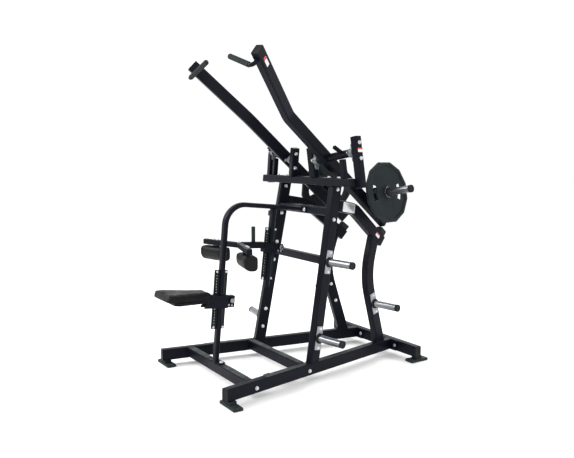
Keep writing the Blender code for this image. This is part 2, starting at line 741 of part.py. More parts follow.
def seat():
    frame = seat_frame(SEAT_AT)
    height = 0.078
    front, rear = -FLAT_D / 2 - 0.0355, FLAT_D / 2 + 0.0255
    body = sleeve(height, front, rear)
    block = pin_block(height - 0.004, rear, 0.050)
    front_face = front - 0.006
    pad_back = front_face - 0.025
    nose = [(front_face + 0.003, -0.039), (front_face + 0.003, 0.036), (front_face - 0.004, 0.036),
            (front_face - 0.060, -0.030), (front_face - 0.060, -0.039)]
    gussets = [moved(slab(nose, 0.006), at(x, 0, 0)) for x in (-0.026, 0.026)]
    link = moved(box(0.058, 0.060, 0.010), at(0, front_face - 0.029, DECK_TOP - 0.0085))
    deck = moved(slab(seat_outline(*DECK_INSET), DECK_T), STAND_UP.inverted())
    deck = moved(deck, at(0, pad_back, DECK_TOP - DECK_T / 2))
    carriage = combine(body, [block] + gussets + [link, deck], "UNION")
    part("seat_carriage", carriage, "paint", frame)

    cushion = moved(slab(seat_outline(), SEAT_T), STAND_UP.inverted())
    cushion = beveled(cushion, 0.010)
    part("seat_pad", cushion, "vinyl", frame @ at(0, pad_back, DECK_TOP + GAP + SEAT_T / 2))
    pull_pin("seat_pin", frame @ at(0, rear + PIN_BEHIND, 0.008))


def pull_pin(name, frame):
    """A spring pull pin: a turned knob outside the bracket, its plunger in the bracket's bore."""
    face = 0.023 + 0.0012
    profile = [(face + 0.018, 0.0), (face + 0.018, 0.012), (face + 0.015, 0.016),
               (face + 0.007, 0.016), (face + 0.004, 0.010), (face, 0.010), (face, 0.006),
               (0.003, 0.006), (0.001, 0.004), (0.001, 0.0)]
    part(name, turned(profile, 20), "zinc", frame)


# ---------------------------------------------------------------- thigh pads
def thigh_hold_down():
    frame = thigh_frame(THIGH_AT)
    height = 0.060
    front, rear = -FLAT_D / 2 - 0.0315, FLAT_D / 2 + 0.0255
    body = sleeve(height, front, rear)
    block = pin_block(height - 0.004, rear, 0.046)
    back = frame @ Vector((0, front - 0.004, 0.008))
    apex_y = 0.345
    beam_z = YOKE_Z - 0.002
    neck = swept_bar([(0, back.y + 0.002, beam_z - 0.010), (0, apex_y + 0.021, beam_z)],
                     (1, 0, 0), (0.046, 0.040), wall=0.0, corner=0.004)
    neck = moved(neck, frame.inverted())
    carriage = combine(body, [block, neck], "UNION")
    part("thigh_carriage", carriage, "paint", frame)
    pull_pin("thigh_pin", frame @ at(0, rear + PIN_BEHIND, 0.008))

    tip = Vector((PAD_AT.x + 0.085, PAD_AT.y - 0.030, YOKE_Z))
    apex = Vector((0, apex_y, YOKE_Z))
    left_tip = Vector((-tip.x, tip.y, tip.z))
    yoke = swept_bar([left_tip, apex, tip], (0, 0, 1), (0.034, 0.034), bend=0.03, wall=0.0,
                     corner=0.005)
    part("thigh_yoke", yoke, "paint")

    length, depth, tall = PAD_SIZE
    ring = []
    radii = ((1, 1, 0.022), (-1, 1, 0.024), (-1, -1, 0.048), (1, -1, 0.022))
    for index, (sy, sz, radius) in enumerate(radii):
        for step in range(6):
            angle = (index + step / 5) * pi / 2
            ring.append((sy * (depth / 2 - radius) + radius * cos(angle),
                         sz * (tall / 2 - radius) + radius * sin(angle)))
    pad = beveled(slab(ring, length), 0.008)
    both_sides("thigh_pad", pad, "vinyl", at(*PAD_AT) @ Matrix.Rotation(-PAD_YAW, 4, "Z"))

    profile = [(0.098, 0.0), (0.098, 0.009), (0.094, 0.013), (0.002, 0.013), (0.0, 0.011), (0.0, 0.0)]
    grip = turned(profile, 24)
    place = at(0, 0.447, YOKE_Z + 0.0136) @ Matrix.Rotation(-pi / 2, 4, "Y")
    part("thigh_grip", grip, "rubber", place)


def centre_on_footprint():
    """Move the machine so that the middle of its footprint is over the origin."""
    for obj in PARTS.objects:
        obj.matrix_world = at(0, -MIDDLE_Y, 0) @ obj.matrix_world


clear_scene()
PARTS = collection("lat_pulldown_machine")
CUTTERS = collection("cutters")
base()
feet()
uprights()
ties()
head_beam()
head_posts()
bearings()
arm()
handles()
weight_horn()
weight_plate()
storage_horns()
seat_post()
thigh_post()
seat()
thigh_hold_down()
centre_on_footprint()
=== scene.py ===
"""The looks of a plate-loaded lat pulldown machine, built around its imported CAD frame.

Every piece is modelled in place, in the row frame: metres, +Z up, +Y the way the user faces.
Pieces of the right side are modelled once and mirrored for the left.
"""
import json
from math import cos, pi, radians, sin

import bmesh
import bpy
from mathutils import Matrix, Vector


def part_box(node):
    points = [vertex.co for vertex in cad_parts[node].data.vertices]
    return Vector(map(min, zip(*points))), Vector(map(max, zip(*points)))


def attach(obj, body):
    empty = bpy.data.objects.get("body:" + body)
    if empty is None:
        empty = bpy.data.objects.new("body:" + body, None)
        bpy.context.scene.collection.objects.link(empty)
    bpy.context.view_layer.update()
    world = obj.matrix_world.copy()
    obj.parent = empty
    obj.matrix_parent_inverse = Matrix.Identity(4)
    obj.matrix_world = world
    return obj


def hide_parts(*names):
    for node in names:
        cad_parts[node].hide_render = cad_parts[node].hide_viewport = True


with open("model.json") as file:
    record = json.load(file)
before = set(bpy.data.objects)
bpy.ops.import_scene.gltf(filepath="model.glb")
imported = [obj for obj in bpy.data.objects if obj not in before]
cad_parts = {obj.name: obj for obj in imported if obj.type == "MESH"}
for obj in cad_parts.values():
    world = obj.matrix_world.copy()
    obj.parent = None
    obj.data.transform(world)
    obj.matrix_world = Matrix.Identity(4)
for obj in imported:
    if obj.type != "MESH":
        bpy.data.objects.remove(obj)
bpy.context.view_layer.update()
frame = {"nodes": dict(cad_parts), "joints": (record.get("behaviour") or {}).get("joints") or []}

# ---- driving dimensions, shared with the CAD ----
MIDDLE_Y = 0.6858
TUBE_W = 0.050
TUBE_D = 0.075
WALL = 0.004
CORNER = 0.007
TOE = radians(10.3)
SIDE_X = 0.440
RAIL_TOP = 0.111
RAIL_FRONT = -0.087
REAR_CROSS_FACE = 1.448
REAR_CROSS_BACK = 1.498
REAR_CROSS_HALF = 0.454
FRONT_CROSS_Y = 0.181
MIDDLE_CROSS_Y = 0.611
UPRIGHT_FOOT = 0.6145
UPRIGHT_HEAD = 0.8145
HEAD_Z = 1.211
HEAD_H = 0.050
HEAD_D = 0.076
HEAD_Y = 0.862
BRACE_START = (0.790, 1.090)
BRACE_BEND = (0.987, 1.055)
BRACE_END = (1.277, 0.815)
LEG_FOOT = (1.277, RAIL_TOP)
LEG_BEND = (1.126, 0.600)
POST = 0.050
POST_X = 0.260
POST_Z = (-0.222, 0.092)
INNER_POST_X = -0.124
BEARING_X = (-0.0867, 0.2227)
ARM_SLOPE = radians(41.7)
ARM_REAR = 0.665
ARM_BEND = 0.388
ARM_FLARE = Vector((0.178, -0.351, 0.321))
HORN_Y = 0.400
HORN_Z = -0.249
HORN_TIP = 0.334
HORN_R = 0.024
PLATE_X = 0.1185
PLATE_T = 0.028
SEAT_FOOT_Y = 0.1665
POST_LEAN = radians(5.2)
THIGH_TOP = Vector((0.0, 0.5960, 1.0400))
THIGH_LEAN = radians(6.6)
THIGH_AT = 0.235
FLAT_D = 0.030
SEAT_AT = 0.388
SEAT_T = 0.044
DECK_TOP = 0.017
SEAT_RACK = (0.215, 0.585)
THIGH_RACK = (0.105, 0.445)
STORAGE_R = 0.0235
STORAGE_FACE = 0.0313        # outer face of a storage horn's bracket, from the tube's middle
STORAGE_TIP = 0.2303
STORAGE_SPOTS = ((0.262, 0), (0.735, 0), (0.398, 1))
STORAGE_REAR_Y = 1.187
STORAGE_REAR_TILT = radians(16)
STORAGE_BOLT_Z = 0.060
RACK_HALF_T = 0.0050
RACK_DEPTH = 0.0235          # of the rear rack, from the post's rear face
PIN_BLOCK_HALF = 0.023
PIN_BLOCK_REAR = 0.0405      # inner face of a carriage's pin block, from the post's axis
THIGH_PAD_TURN = Matrix.Rotation(radians(-15), 4, "Z")

# ---- fasteners and fittings: along the side frame, heights, or across the machine ----
UPRIGHT_BOLTS_Z = (1.188, 1.000)
UPRIGHT_NUTS_Z = (0.325, 0.200, 0.798, 0.673)
LEG_NUTS_Z = (0.335, 0.461)
RAIL_BOLTS_Y = (0.128, 0.565)
RAIL_BOLT_Z = 0.067
FLANGE_X = 0.184
FLANGE_T = 0.006
FLANGE_BOLT_X = 0.068
FLANGE_BOLT_Z = 0.0755
HEAD_BOLTS_X = (0.245, 0.345)
POST_BOLTS_Z = (0.052, -0.044)
BEARING_BOLT_Y = 0.044
TIE_FACE = (0.8180, 1.0460)  # front face of the upper tie: place and height
BRACKET_T = 0.006
BRACKET_BOLT_X = 0.043
STRIP_SIZE = (0.245, 0.040)
STRIP_ON_RAIL_Y = 0.3325
STRIP_ON_FRONT_X = 0.232
STRIP_ON_MIDDLE_X = 0.176
SHAFT_COLLARS_X = (-0.0705, 0.1960)
LABEL_T = 0.0005

# ---- looks: linear colours ----
NAVY = (0.0026, 0.0030, 0.0064)
NAVY_LIGHT = (0.0050, 0.0057, 0.0112)
# edge colour: rubbed paint, and also a painted highlight where rounded corners catch the light
EDGE_WEAR_AND_HIGHLIGHT = (0.022, 0.023, 0.031)
GREEN = (0.0095, 0.0145, 0.0145)
GREEN_LIGHT = (0.020, 0.028, 0.027)
PLATE_GREY = (0.0075, 0.0120, 0.0135)
PLATE_LIGHT = (0.0165, 0.0235, 0.0250)
STEEL = (0.235, 0.245, 0.265)
STEEL_DARK = (0.175, 0.185, 0.205)
# pale coat: dark, light, and an edge colour that is rubbed paint and also a painted highlight on
# the corners
PALE_COAT = ((0.30, 0.31, 0.33), (0.38, 0.39, 0.41), (0.50, 0.51, 0.53))
LABEL = ((0.72, 0.72, 0.71), (0.55, 0.05, 0.05))

FLIP = Matrix.Diagonal((-1.0, 1.0, 1.0, 1.0))
SIDES = (("right", Matrix()), ("left", FLIP))
ACROSS = Vector((1, 0, 0))


def at(x, y, z):
    return Matrix.Translation((x, y, z))


MACHINE = at(0, -MIDDLE_Y, 0)
SIDE = MACHINE @ Matrix.Rotation(TOE, 4, "Z") @ at(SIDE_X, 0, 0)


def pivot_frame():
    """The right arm's own frame: X along its pivot, Y level."""
    joint = next(j for j in frame["joints"] if j["name"] == "right_arm_pivot")
    x = Vector(joint["axis"]).normalized()
    y = Vector((0, 0, 1)).cross(x).normalized()
    turn = Matrix((x, y, x.cross(y))).transposed().to_4x4()
    return at(*joint["pos_m"]) @ turn


PIVOT = pivot_frame()


def seat_frame(distance):
    return (MACHINE @ at(0, SEAT_FOOT_Y, RAIL_TOP) @ Matrix.Rotation(-POST_LEAN, 4, "X")
            @ at(0, 0, distance))


def thigh_frame(distance):
    return MACHINE @ at(*THIGH_TOP) @ Matrix.Rotation(-THIGH_LEAN, 4, "X") @ at(0, 0, -distance)


def facing(origin, normal, up=(0, 0, 1)):
    """A matrix at the origin whose Z is the normal and whose Y is as near as can be to up."""
    z = Vector(normal).normalized()
    x = Vector(up).cross(z).normalized()
    turn = Matrix((x, z.cross(x), z)).transposed().to_4x4()
    return at(*origin) @ turn


OUTWARD = facing((0, 0, 0), ACROSS)


def upright_y(z):
    """Where the upright's middle line is at a height, along the side frame."""
    return UPRIGHT_FOOT + (UPRIGHT_HEAD - UPRIGHT_FOOT) * (z - RAIL_TOP) / (HEAD_Z - RAIL_TOP)


def leg_y(z):
    share = (z - LEG_FOOT[1]) / (LEG_BEND[1] - LEG_FOOT[1])
    return LEG_FOOT[0] + (LEG_BEND[0] - LEG_FOOT[0]) * share


# ---------------------------------------------------------------- materials
class Shader:
    """A node material under construction, in metres."""

    def __init__(self, name):
        self.material = bpy.data.materials.new(name)
        self.material.use_nodes = True
        self.tree = self.material.node_tree
        self.principled = self.tree.nodes["Principled BSDF"]
        self.place = self.add("ShaderNodeTexCoord").outputs["Object"]

    def add(self, kind, **settings):
        node = self.tree.nodes.new(kind)
        for key, value in settings.items():
            setattr(node, key, value)
        return node

    def feed(self, socket, value):
        if isinstance(value, bpy.types.NodeSocket):
            self.tree.links.new(value, socket)
        elif isinstance(value, tuple) and len(value) == 3 and socket.type == "RGBA":
            socket.default_value = (*value, 1.0)
        else:
            socket.default_value = value

    def set(self, **values):
        for name, value in values.items():
            self.feed(self.principled.inputs[name.replace("_", " ").title()], value)

    def sheen(self, level):
        self.principled.inputs["Specular IOR Level"].default_value = level

    def stretched(self, scale):
        node = self.add("ShaderNodeMapping")
        self.feed(node.inputs["Vector"], self.place)
        node.inputs["Scale"].default_value = scale
        return node.outputs["Vector"]

    def noise(self, scale, detail=3.0, roughness=0.55, place=None):
        node = self.add("ShaderNodeTexNoise")
        self.feed(node.inputs["Vector"], place or self.place)
        node.inputs["Scale"].default_value = scale
        node.inputs["Detail"].default_value = detail
        node.inputs["Roughness"].default_value = roughness
        return node.outputs["Fac"]

    def cells(self, scale, place=None):
        node = self.add("ShaderNodeTexVoronoi", feature="F1")
        self.feed(node.inputs["Vector"], place or self.place)
        node.inputs["Scale"].default_value = scale
        return node.outputs["Distance"]

    def span(self, value, low, high, to_low=0.0, to_high=1.0):
        node = self.add("ShaderNodeMapRange")
        for name, item in (("Value", value), ("From Min", low), ("From Max", high),
                           ("To Min", to_low), ("To Max", to_high)):
            self.feed(node.inputs[name], item)
        return node.outputs["Result"]

    def maths(self, operation, first, second):
        node = self.add("ShaderNodeMath", operation=operation)
        self.feed(node.inputs[0], first)
        self.feed(node.inputs[1], second)
        return node.outputs[0]

    def mix(self, factor, first, second):
        node = self.add("ShaderNodeMix", data_type="RGBA")
        self.feed(node.inputs[0], factor)
        self.feed(node.inputs[6], first)
        self.feed(node.inputs[7], second)
        return node.outputs[2]

    def blend(self, factor, first, second):
        node = self.add("ShaderNodeMix", data_type="FLOAT")
        self.feed(node.inputs[0], factor)
        self.feed(node.inputs[2], first)
        self.feed(node.inputs[3], second)
        return node.outputs[0]

    def beyond(self, point, normal, soft=0.0002):
        """1 on the far side of a plane and 0 on the near side."""
        shifted = self.add("ShaderNodeVectorMath", operation="SUBTRACT")
        self.feed(shifted.inputs[0], self.place)
        shifted.inputs[1].default_value = point
        dot = self.add("ShaderNodeVectorMath", operation="DOT_PRODUCT")
        self.feed(dot.inputs[0], shifted.outputs[0])
        dot.inputs[1].default_value = normal
        return self.span(dot.outputs["Value"], -soft, soft)

    def rounded(self, radius):
        """The surface normal with its sharp edges rounded over."""
        node = self.add("ShaderNodeBevel", samples=4)
        node.inputs["Radius"].default_value = radius
        return node.outputs["Normal"]

    def edges(self, normal, gain=9.0):
        """A mask that is 1 along sharp edges, broken up by noise."""
        here = self.add("ShaderNodeNewGeometry").outputs["Normal"]
        dot = self.add("ShaderNodeVectorMath", operation="DOT_PRODUCT")
        self.feed(dot.inputs[0], here)
        self.feed(dot.inputs[1], normal)
        turned = self.maths("SUBTRACT", 1.0, dot.outputs["Value"])
        # broken-up edge mask: wear, and on the powder coats also a painted highlight on the corners
        wear_and_highlight = self.span(self.noise(55.0, 4.0), 0.38, 0.68)
        return self.maths("MULTIPLY", self.span(turned, 0.0, 1.0 / gain), wear_and_highlight)

    def bump(self, height, strength, distance, normal=None):
        node = self.add("ShaderNodeBump")
        node.inputs["Strength"].default_value = strength
        node.inputs["Distance"].default_value = distance
        self.feed(node.inputs["Height"], height)
        if normal:
            self.feed(node.inputs["Normal"], normal)
        self.feed(self.principled.inputs["Normal"], node.outputs["Normal"])


def powder_coat(name, dark=NAVY, light=NAVY_LIGHT, wear_and_highlight=EDGE_WEAR_AND_HIGHLIGHT, regions=()):
    """Satin powder coat: faint orange peel, uneven gloss, dust, and rubbed edges made paler still
    as a painted highlight on the rounded corners.

    regions are (point, normal, colour, roughness, metallic) for the far side of a plane.
    """
    shader = Shader(name)
    normal = shader.rounded(0.0016)
    cloud = shader.noise(3.2, 5.0)
    color = shader.mix(shader.span(cloud, 0.35, 0.7), dark, light)
    specks = shader.span(shader.noise(21.0, 6.0, 0.7), 0.52, 0.8)
    dust = shader.maths("MULTIPLY", specks, 0.35)
    color = shader.mix(dust, color, tuple(channel * 1.9 for channel in light))
    # edges paler: rubbed paint, and also a painted highlight where rounded corners would catch the
    # light
    color = shader.mix(shader.edges(normal), color, wear_and_highlight)
    peel = shader.noise(520.0, 2.0)
    gloss = shader.span(shader.noise(12.0, 5.0, 0.65), 0.3, 0.75, 0.30, 0.46)
    metal = 0.0
    for point, direction, other, other_gloss, other_metal in regions:
        mask = shader.beyond(point, direction)
        color = shader.mix(mask, color, other)
        gloss = shader.blend(mask, gloss, other_gloss)
        metal = shader.blend(mask, metal, other_metal)
    shader.set(base_color=color, roughness=gloss, metallic=metal)
    shader.bump(peel, 0.16, 0.0004, normal)
    shader.sheen(0.09)
    return shader.material


def bright_steel(name, axis=(1, 0, 0), tint=STEEL, shade=STEEL_DARK, gloss=(0.20, 0.38)):
    """Plated steel with fine turning or brushing lines round the axis, and smudges."""
    shader = Shader(name)
    normal = shader.rounded(0.0010)
    across = tuple(900.0 if component else 9.0 for component in axis)
    lines = shader.noise(1.0, 2.0, 0.5, shader.stretched(across))
    smudge = shader.noise(26.0, 5.0, 0.6)
    color = shader.mix(shader.span(smudge, 0.3, 0.75), tint, shade)
    color = shader.mix(shader.maths("MULTIPLY", lines, 0.10), color, (0.70, 0.71, 0.74))
    shader.set(base_color=color, metallic=0.92,
               roughness=shader.span(shader.maths("ADD", smudge, lines), 0.6, 1.4, *gloss))
    shader.bump(lines, 0.035, 0.0001, normal)
    return shader.material


def moulded_rubber(name, dark=GREEN, light=GREEN_LIGHT, grain=900.0, depth=0.0004):
    """Matt rubber with a fine moulded grain and greyer, scuffed edges."""
    shader = Shader(name)
    normal = shader.rounded(0.0014)
    mottled = shader.noise(38.0, 6.0, 0.7)
    color = shader.mix(shader.span(mottled, 0.35, 0.72), dark, light)
    color = shader.mix(shader.edges(normal), color, tuple(channel * 2.2 for channel in light))
    height = shader.maths("ADD", shader.cells(grain), shader.noise(grain * 0.4, 3.0))
    shader.set(base_color=color, roughness=shader.span(mottled, 0.3, 0.8, 0.62, 0.86))
    shader.bump(height, 0.35, depth, normal)
    shader.sheen(0.20)
    return shader.material


def cast_enamel(name):
    """Grey-green enamel over a cast plate: soft casting texture, chips on the rim."""
    shader = Shader(name)
    normal = shader.rounded(0.0022)
    cloud = shader.noise(9.0, 5.0, 0.65)
    color = shader.mix(shader.span(cloud, 0.32, 0.72), PLATE_GREY, PLATE_LIGHT)
    color = shader.mix(shader.edges(normal, 6.0), color, (0.060, 0.075, 0.077))
    skin = shader.maths("ADD", shader.noise(260.0, 4.0, 0.6), shader.noise(60.0, 3.0))
    shader.set(base_color=color, roughness=shader.span(cloud, 0.3, 0.75, 0.40, 0.58))
    shader.bump(skin, 0.30, 0.0007, normal)
    shader.sheen(0.12)
    return shader.material


def cast_housing(name):
    """Pale grey bearing housing, sand cast."""
    shader = Shader(name)
    normal = shader.rounded(0.0016)
    cloud = shader.noise(45.0, 5.0, 0.65)
    color = shader.mix(shader.span(cloud, 0.3, 0.75), (0.105, 0.125, 0.130), (0.215, 0.245, 0.250))
    shader.set(base_color=color, roughness=shader.span(cloud, 0.3, 0.75, 0.38, 0.58), metallic=0.35)
    shader.bump(shader.noise(420.0, 4.0, 0.6), 0.35, 0.0006, normal)
    return shader.material


def vinyl(name, dark=(0.0022, 0.0022, 0.0024), light=(0.0062, 0.0062, 0.0066)):
    """Black upholstery vinyl: pebble grain in two sizes, soft creases, handled sheen."""
    shader = Shader(name)
    creases = shader.noise(16.0, 5.0, 0.6)
    warp = shader.add("ShaderNodeVectorMath", operation="MULTIPLY_ADD")
    shader.feed(warp.inputs[0], shader.add("ShaderNodeTexNoise").outputs["Color"])
    warp.inputs[1].default_value = (0.0012, 0.0012, 0.0012)
    shader.feed(warp.inputs[2], shader.place)
    pebble = shader.cells(620.0, warp.outputs[0])
    fine = shader.noise(2300.0, 2.0)
    fine = shader.maths("MULTIPLY", fine, 0.35)
    grain = shader.maths("ADD", shader.span(pebble, 0.05, 0.65), fine)
    color = shader.mix(shader.span(pebble, 0.15, 0.6), dark, light)
    color = shader.mix(shader.maths("MULTIPLY", shader.span(creases, 0.5, 0.8), 0.5), color,
                       (0.0130, 0.0130, 0.0135))
    shader.set(base_color=color, roughness=shader.span(creases, 0.3, 0.75, 0.34, 0.54))
    shader.bump(shader.maths("ADD", grain, shader.maths("MULTIPLY", creases, 3.0)), 0.42, 0.0006)
    shader.sheen(0.12)
    return shader.material


def grit_tape(name):
    """Anti-slip tape: sharp mineral grit, paler where shoes have polished it."""
    shader = Shader(name)
    grit = shader.cells(850.0)
    traffic = shader.noise(24.0, 5.0, 0.7)
    color = shader.mix(shader.span(traffic, 0.35, 0.75), (0.034, 0.044, 0.043),
                       (0.105, 0.126, 0.123))
    # grit tops painted paler: a painted highlight for light glinting off the grit
    color = shader.mix(shader.span(grit, 0.1, 0.5, 0.45, 0.0), color, (0.150, 0.172, 0.168))
    shader.set(base_color=color, roughness=shader.span(grit, 0.0, 0.7, 0.55, 0.92))
    shader.bump(grit, 0.8, 0.0008)
    shader.sheen(0.2)
    return shader.material


def printed(name, ground, band, point, normal):
    """A satin printed film with one plain coloured band and no lettering."""
    shader = Shader(name)
    rub = shader.noise(90.0, 5.0, 0.7)
    color = shader.mix(shader.beyond(point, normal), ground, band)
    color = shader.mix(shader.maths("MULTIPLY", shader.span(rub, 0.5, 0.85), 0.5), color,
                       (0.42, 0.42, 0.42))
    shader.set(base_color=color, roughness=shader.span(rub, 0.3, 0.8, 0.28, 0.5))
    shader.bump(rub, 0.08, 0.0002)
    return shader.material


def floor_material():
    shader = Shader("studio_floor")
    color = shader.mix(shader.noise(0.8, 3.0), (0.955, 0.955, 0.955), (0.975, 0.975, 0.975))
    shader.set(base_color=color, roughness=shader.span(shader.noise(3.0), 0.3, 0.7, 0.75, 0.90))
    shader.sheen(0.08)
    return shader.material


PAINT = powder_coat("powder_coat")
RUBBER = moulded_rubber("moulded_rubber")
PLASTIC = moulded_rubber("cap_plastic", (0.0055, 0.0058, 0.0065), (0.0125, 0.0130, 0.0140),
                         500.0, 0.0002)
ZINC = bright_steel("bolt_zinc", gloss=(0.22, 0.40), tint=(0.80, 0.81, 0.83),
                    shade=(0.58, 0.59, 0.61))
VINYL = vinyl("upholstery_vinyl")
THREAD = moulded_rubber("seam_thread", (0.010, 0.010, 0.011), (0.022, 0.022, 0.023), 1400.0, 0.0002)
TAPE = grit_tape("grit_tape")


# ---------------------------------------------------------------- shapes
def mesh_from(bm):
    bmesh.ops.remove_doubles(bm, verts=bm.verts, dist=0.00001)
    bmesh.ops.recalc_face_normals(bm, faces=bm.faces)
    mesh = bpy.data.meshes.new("mesh")
    bm.to_mesh(mesh)
    bm.free()
    return mesh


def joined(items):
    """One mesh from several (mesh, matrix) pairs."""
    bm = bmesh.new()
    for mesh, matrix in items:
        verts_before, faces_before = len(bm.verts), len(bm.faces)
        bm.from_mesh(mesh)
        bm.verts.ensure_lookup_table()
        bm.faces.ensure_lookup_table()
        bmesh.ops.transform(bm, matrix=matrix, verts=bm.verts[verts_before:])
        if matrix.determinant() < 0:
            bmesh.ops.reverse_faces(bm, faces=bm.faces[faces_before:])
    mesh = bpy.data.meshes.new("joined")
    bm.to_mesh(mesh)
    bm.free()
    return mesh


def rounded_ring(width, depth, radius, steps=4):
    points = []
    for index, (sx, sy) in enumerate(((1, 1), (-1, 1), (-1, -1), (1, -1))):
        for step in range(steps + 1):
            angle = (index + step / steps) * pi / 2
            points.append((sx * (width / 2 - radius) + radius * cos(angle),
                           sy * (depth / 2 - radius) + radius * sin(angle)))
    return points


def layered(ring, levels):
    """A solid skinned over rings: ring(inset) gives the outline for each (height, inset)."""
    bm = bmesh.new()
    rings = [[bm.verts.new((x, y, z)) for x, y in ring(inset)] for z, inset in levels]
    for low, high in zip(rings, rings[1:]):
        for index in range(len(low)):
            bm.faces.new((low[index - 1], low[index], high[index], high[index - 1]))
    bm.faces.new(rings[-1])
    bm.faces.new(list(reversed(rings[0])))
    return mesh_from(bm)


def eased(thickness, edge):
    """Levels of a flat slab with its top edge eased."""
    shoulder = (thickness - edge * 0.3, edge * 0.3)
    return (0.0, 0.0), (thickness - edge, 0.0), shoulder, (thickness, edge)


def plate(width, depth, thickness, radius=0.004, edge=0.0008):
    """A flat plate with rounded corners and eased edges; local Z = 0 is its underside."""
    def ring(inset):
        return rounded_ring(width - 2 * inset, depth - 2 * inset, max(radius - inset, 0.0004))

    return layered(ring, eased(thickness, edge))


def lathe(profile, steps=32):
    """A turned solid about local Z from (z, radius) points, bottom to top."""
    bm = bmesh.new()
    verts = [bm.verts.new((radius, 0, z)) for z, radius in profile]
    edges = [bm.edges.new(pair) for pair in zip(verts, verts[1:])]
    bmesh.ops.spin(bm, geom=verts + edges, cent=(0, 0, 0), axis=(0, 0, 1), angle=2 * pi,
                   steps=steps, dvec=(0, 0, 0))
    return mesh_from(bm)


def hexagon(radius, height, chamfer=0.0009):
    """A hexagonal head standing on local Z = 0, chamfered round its top."""
    bm = bmesh.new()
    bmesh.ops.create_cone(bm, cap_ends=True, segments=6, radius1=radius, radius2=radius,
                          depth=height, matrix=at(0, 0, height / 2))
    top = [edge for edge in bm.edges if all(vert.co.z > height * 0.9 for vert in edge.verts)]
    bmesh.ops.bevel(bm, geom=top, offset=chamfer, segments=2, affect="EDGES", profile=0.6)
    return mesh_from(bm)


def bolt(scale=1.0, nut=False):
    """A washer with a hexagon head on it, or a nut with the thread's end showing."""
    washer = lathe([(0.0, 0.0), (0.0, 0.0122), (0.0014, 0.0122), (0.0020, 0.0116),
                    (0.0020, 0.0)], 28)
    head = hexagon(0.0098, 0.0062)
    items = [(washer, Matrix()), (head, at(0, 0, 0.0020))]
    if nut:
        end = lathe([(0.0, 0.0), (0.0, 0.0050), (0.0018, 0.0050), (0.0028, 0.0042),
                     (0.0028, 0.0)], 20)
        items.append((end, at(0, 0, 0.0082)))
    else:
        dome = lathe([(0.0, 0.0), (0.0, 0.0070), (0.0007, 0.0055), (0.0009, 0.0)], 20)
        items.append((dome, at(0, 0, 0.0082)))
    mesh = joined(items)
    mesh.transform(Matrix.Scale(scale, 4))
    return mesh


def tube_plug(width=TUBE_W, depth=TUBE_D):
    """A moulded cap pressed into a tube's open end: a raised rim round a shallow dish."""
    inner_w, inner_d = width - 2 * WALL - 0.0004, depth - 2 * WALL - 0.0004

    def ring(inset):
        return rounded_ring(inner_w - 2 * inset, inner_d - 2 * inset,
                            max(CORNER - WALL - inset, 0.0012))

    return layered(ring, ((-0.012, 0.0), (-0.0012, 0.0), (-0.0004, 0.0008), (-0.0004, 0.0050),
                          (-0.0016, 0.0070), (-0.0010, 0.0150)))


def placed(name, data):
    """An object that holds the data, linked to the scene."""
    obj = bpy.data.objects.new(name, data)
    bpy.context.scene.collection.objects.link(obj)
    return obj


def settled(obj):
    """The object's evaluated mesh, after which the object is dropped."""
    bpy.context.view_layer.update()
    graph = bpy.context.evaluated_depsgraph_get()
    mesh = bpy.data.meshes.new_from_object(obj.evaluated_get(graph))
    bpy.data.objects.remove(obj, do_unlink=True)
    return mesh


def bead(points, radius, ripple=0.0, closed=True):
    """A round bead along the points; ripple makes the stacked-coin look of a weld."""
    curve = bpy.data.curves.new("bead", "CURVE")
    curve.dimensions = "3D"
    curve.bevel_depth = radius
    curve.bevel_resolution = 2
    curve.use_fill_caps = True
    spline = curve.splines.new("POLY")
    spline.points.add(len(points) - 1)
    for index, (point, co) in enumerate(zip(spline.points, points)):
        point.co = (*co, 1.0)
        point.radius = 1.0 + ripple * (1 if index % 2 else -1)
    spline.use_cyclic_u = closed
    return settled(placed("bead", curve))


def resampled(points, spacing):
    """Evenly spaced points along a closed outline."""
    points = [Vector(point) for point in points]
    ring = points + points[:1]
    lengths = [(b - a).length for a, b in zip(ring, ring[1:])]
    count = max(8, int(sum(lengths) / spacing))
    step = sum(lengths) / count
    result, index, used = [], 0, 0.0
    for number in range(count):
        target = number * step
        while used + lengths[index] < target:
            used += lengths[index]
            index += 1
        result.append(ring[index].lerp(ring[index + 1], (target - used) / lengths[index]))
    return result


def weld(width, depth, lift=0.0006, slant=0.0):
    """A fillet weld round a tube that stands on local Z = 0; slant stretches it along Y."""
    ring = rounded_ring(width + 0.001, depth + 0.001, CORNER)
    outline = [(x, y * (1 + slant), lift) for x, y in ring]
    return bead(resampled(outline, 0.0030), 0.0026, 0.16)


def piece(name, mesh, material, body):
    mesh.name = name
    mesh.materials.clear()
    mesh.materials.append(material)
    mesh.shade_smooth()
    mesh.set_sharp_from_angle(angle=radians(38))
    obj = placed(name, mesh)
    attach(obj, body)
    return obj


def both(items):
    """The items and their mirror twins."""
    return [(mesh, flip @ matrix) for _, flip in SIDES for mesh, matrix in items]


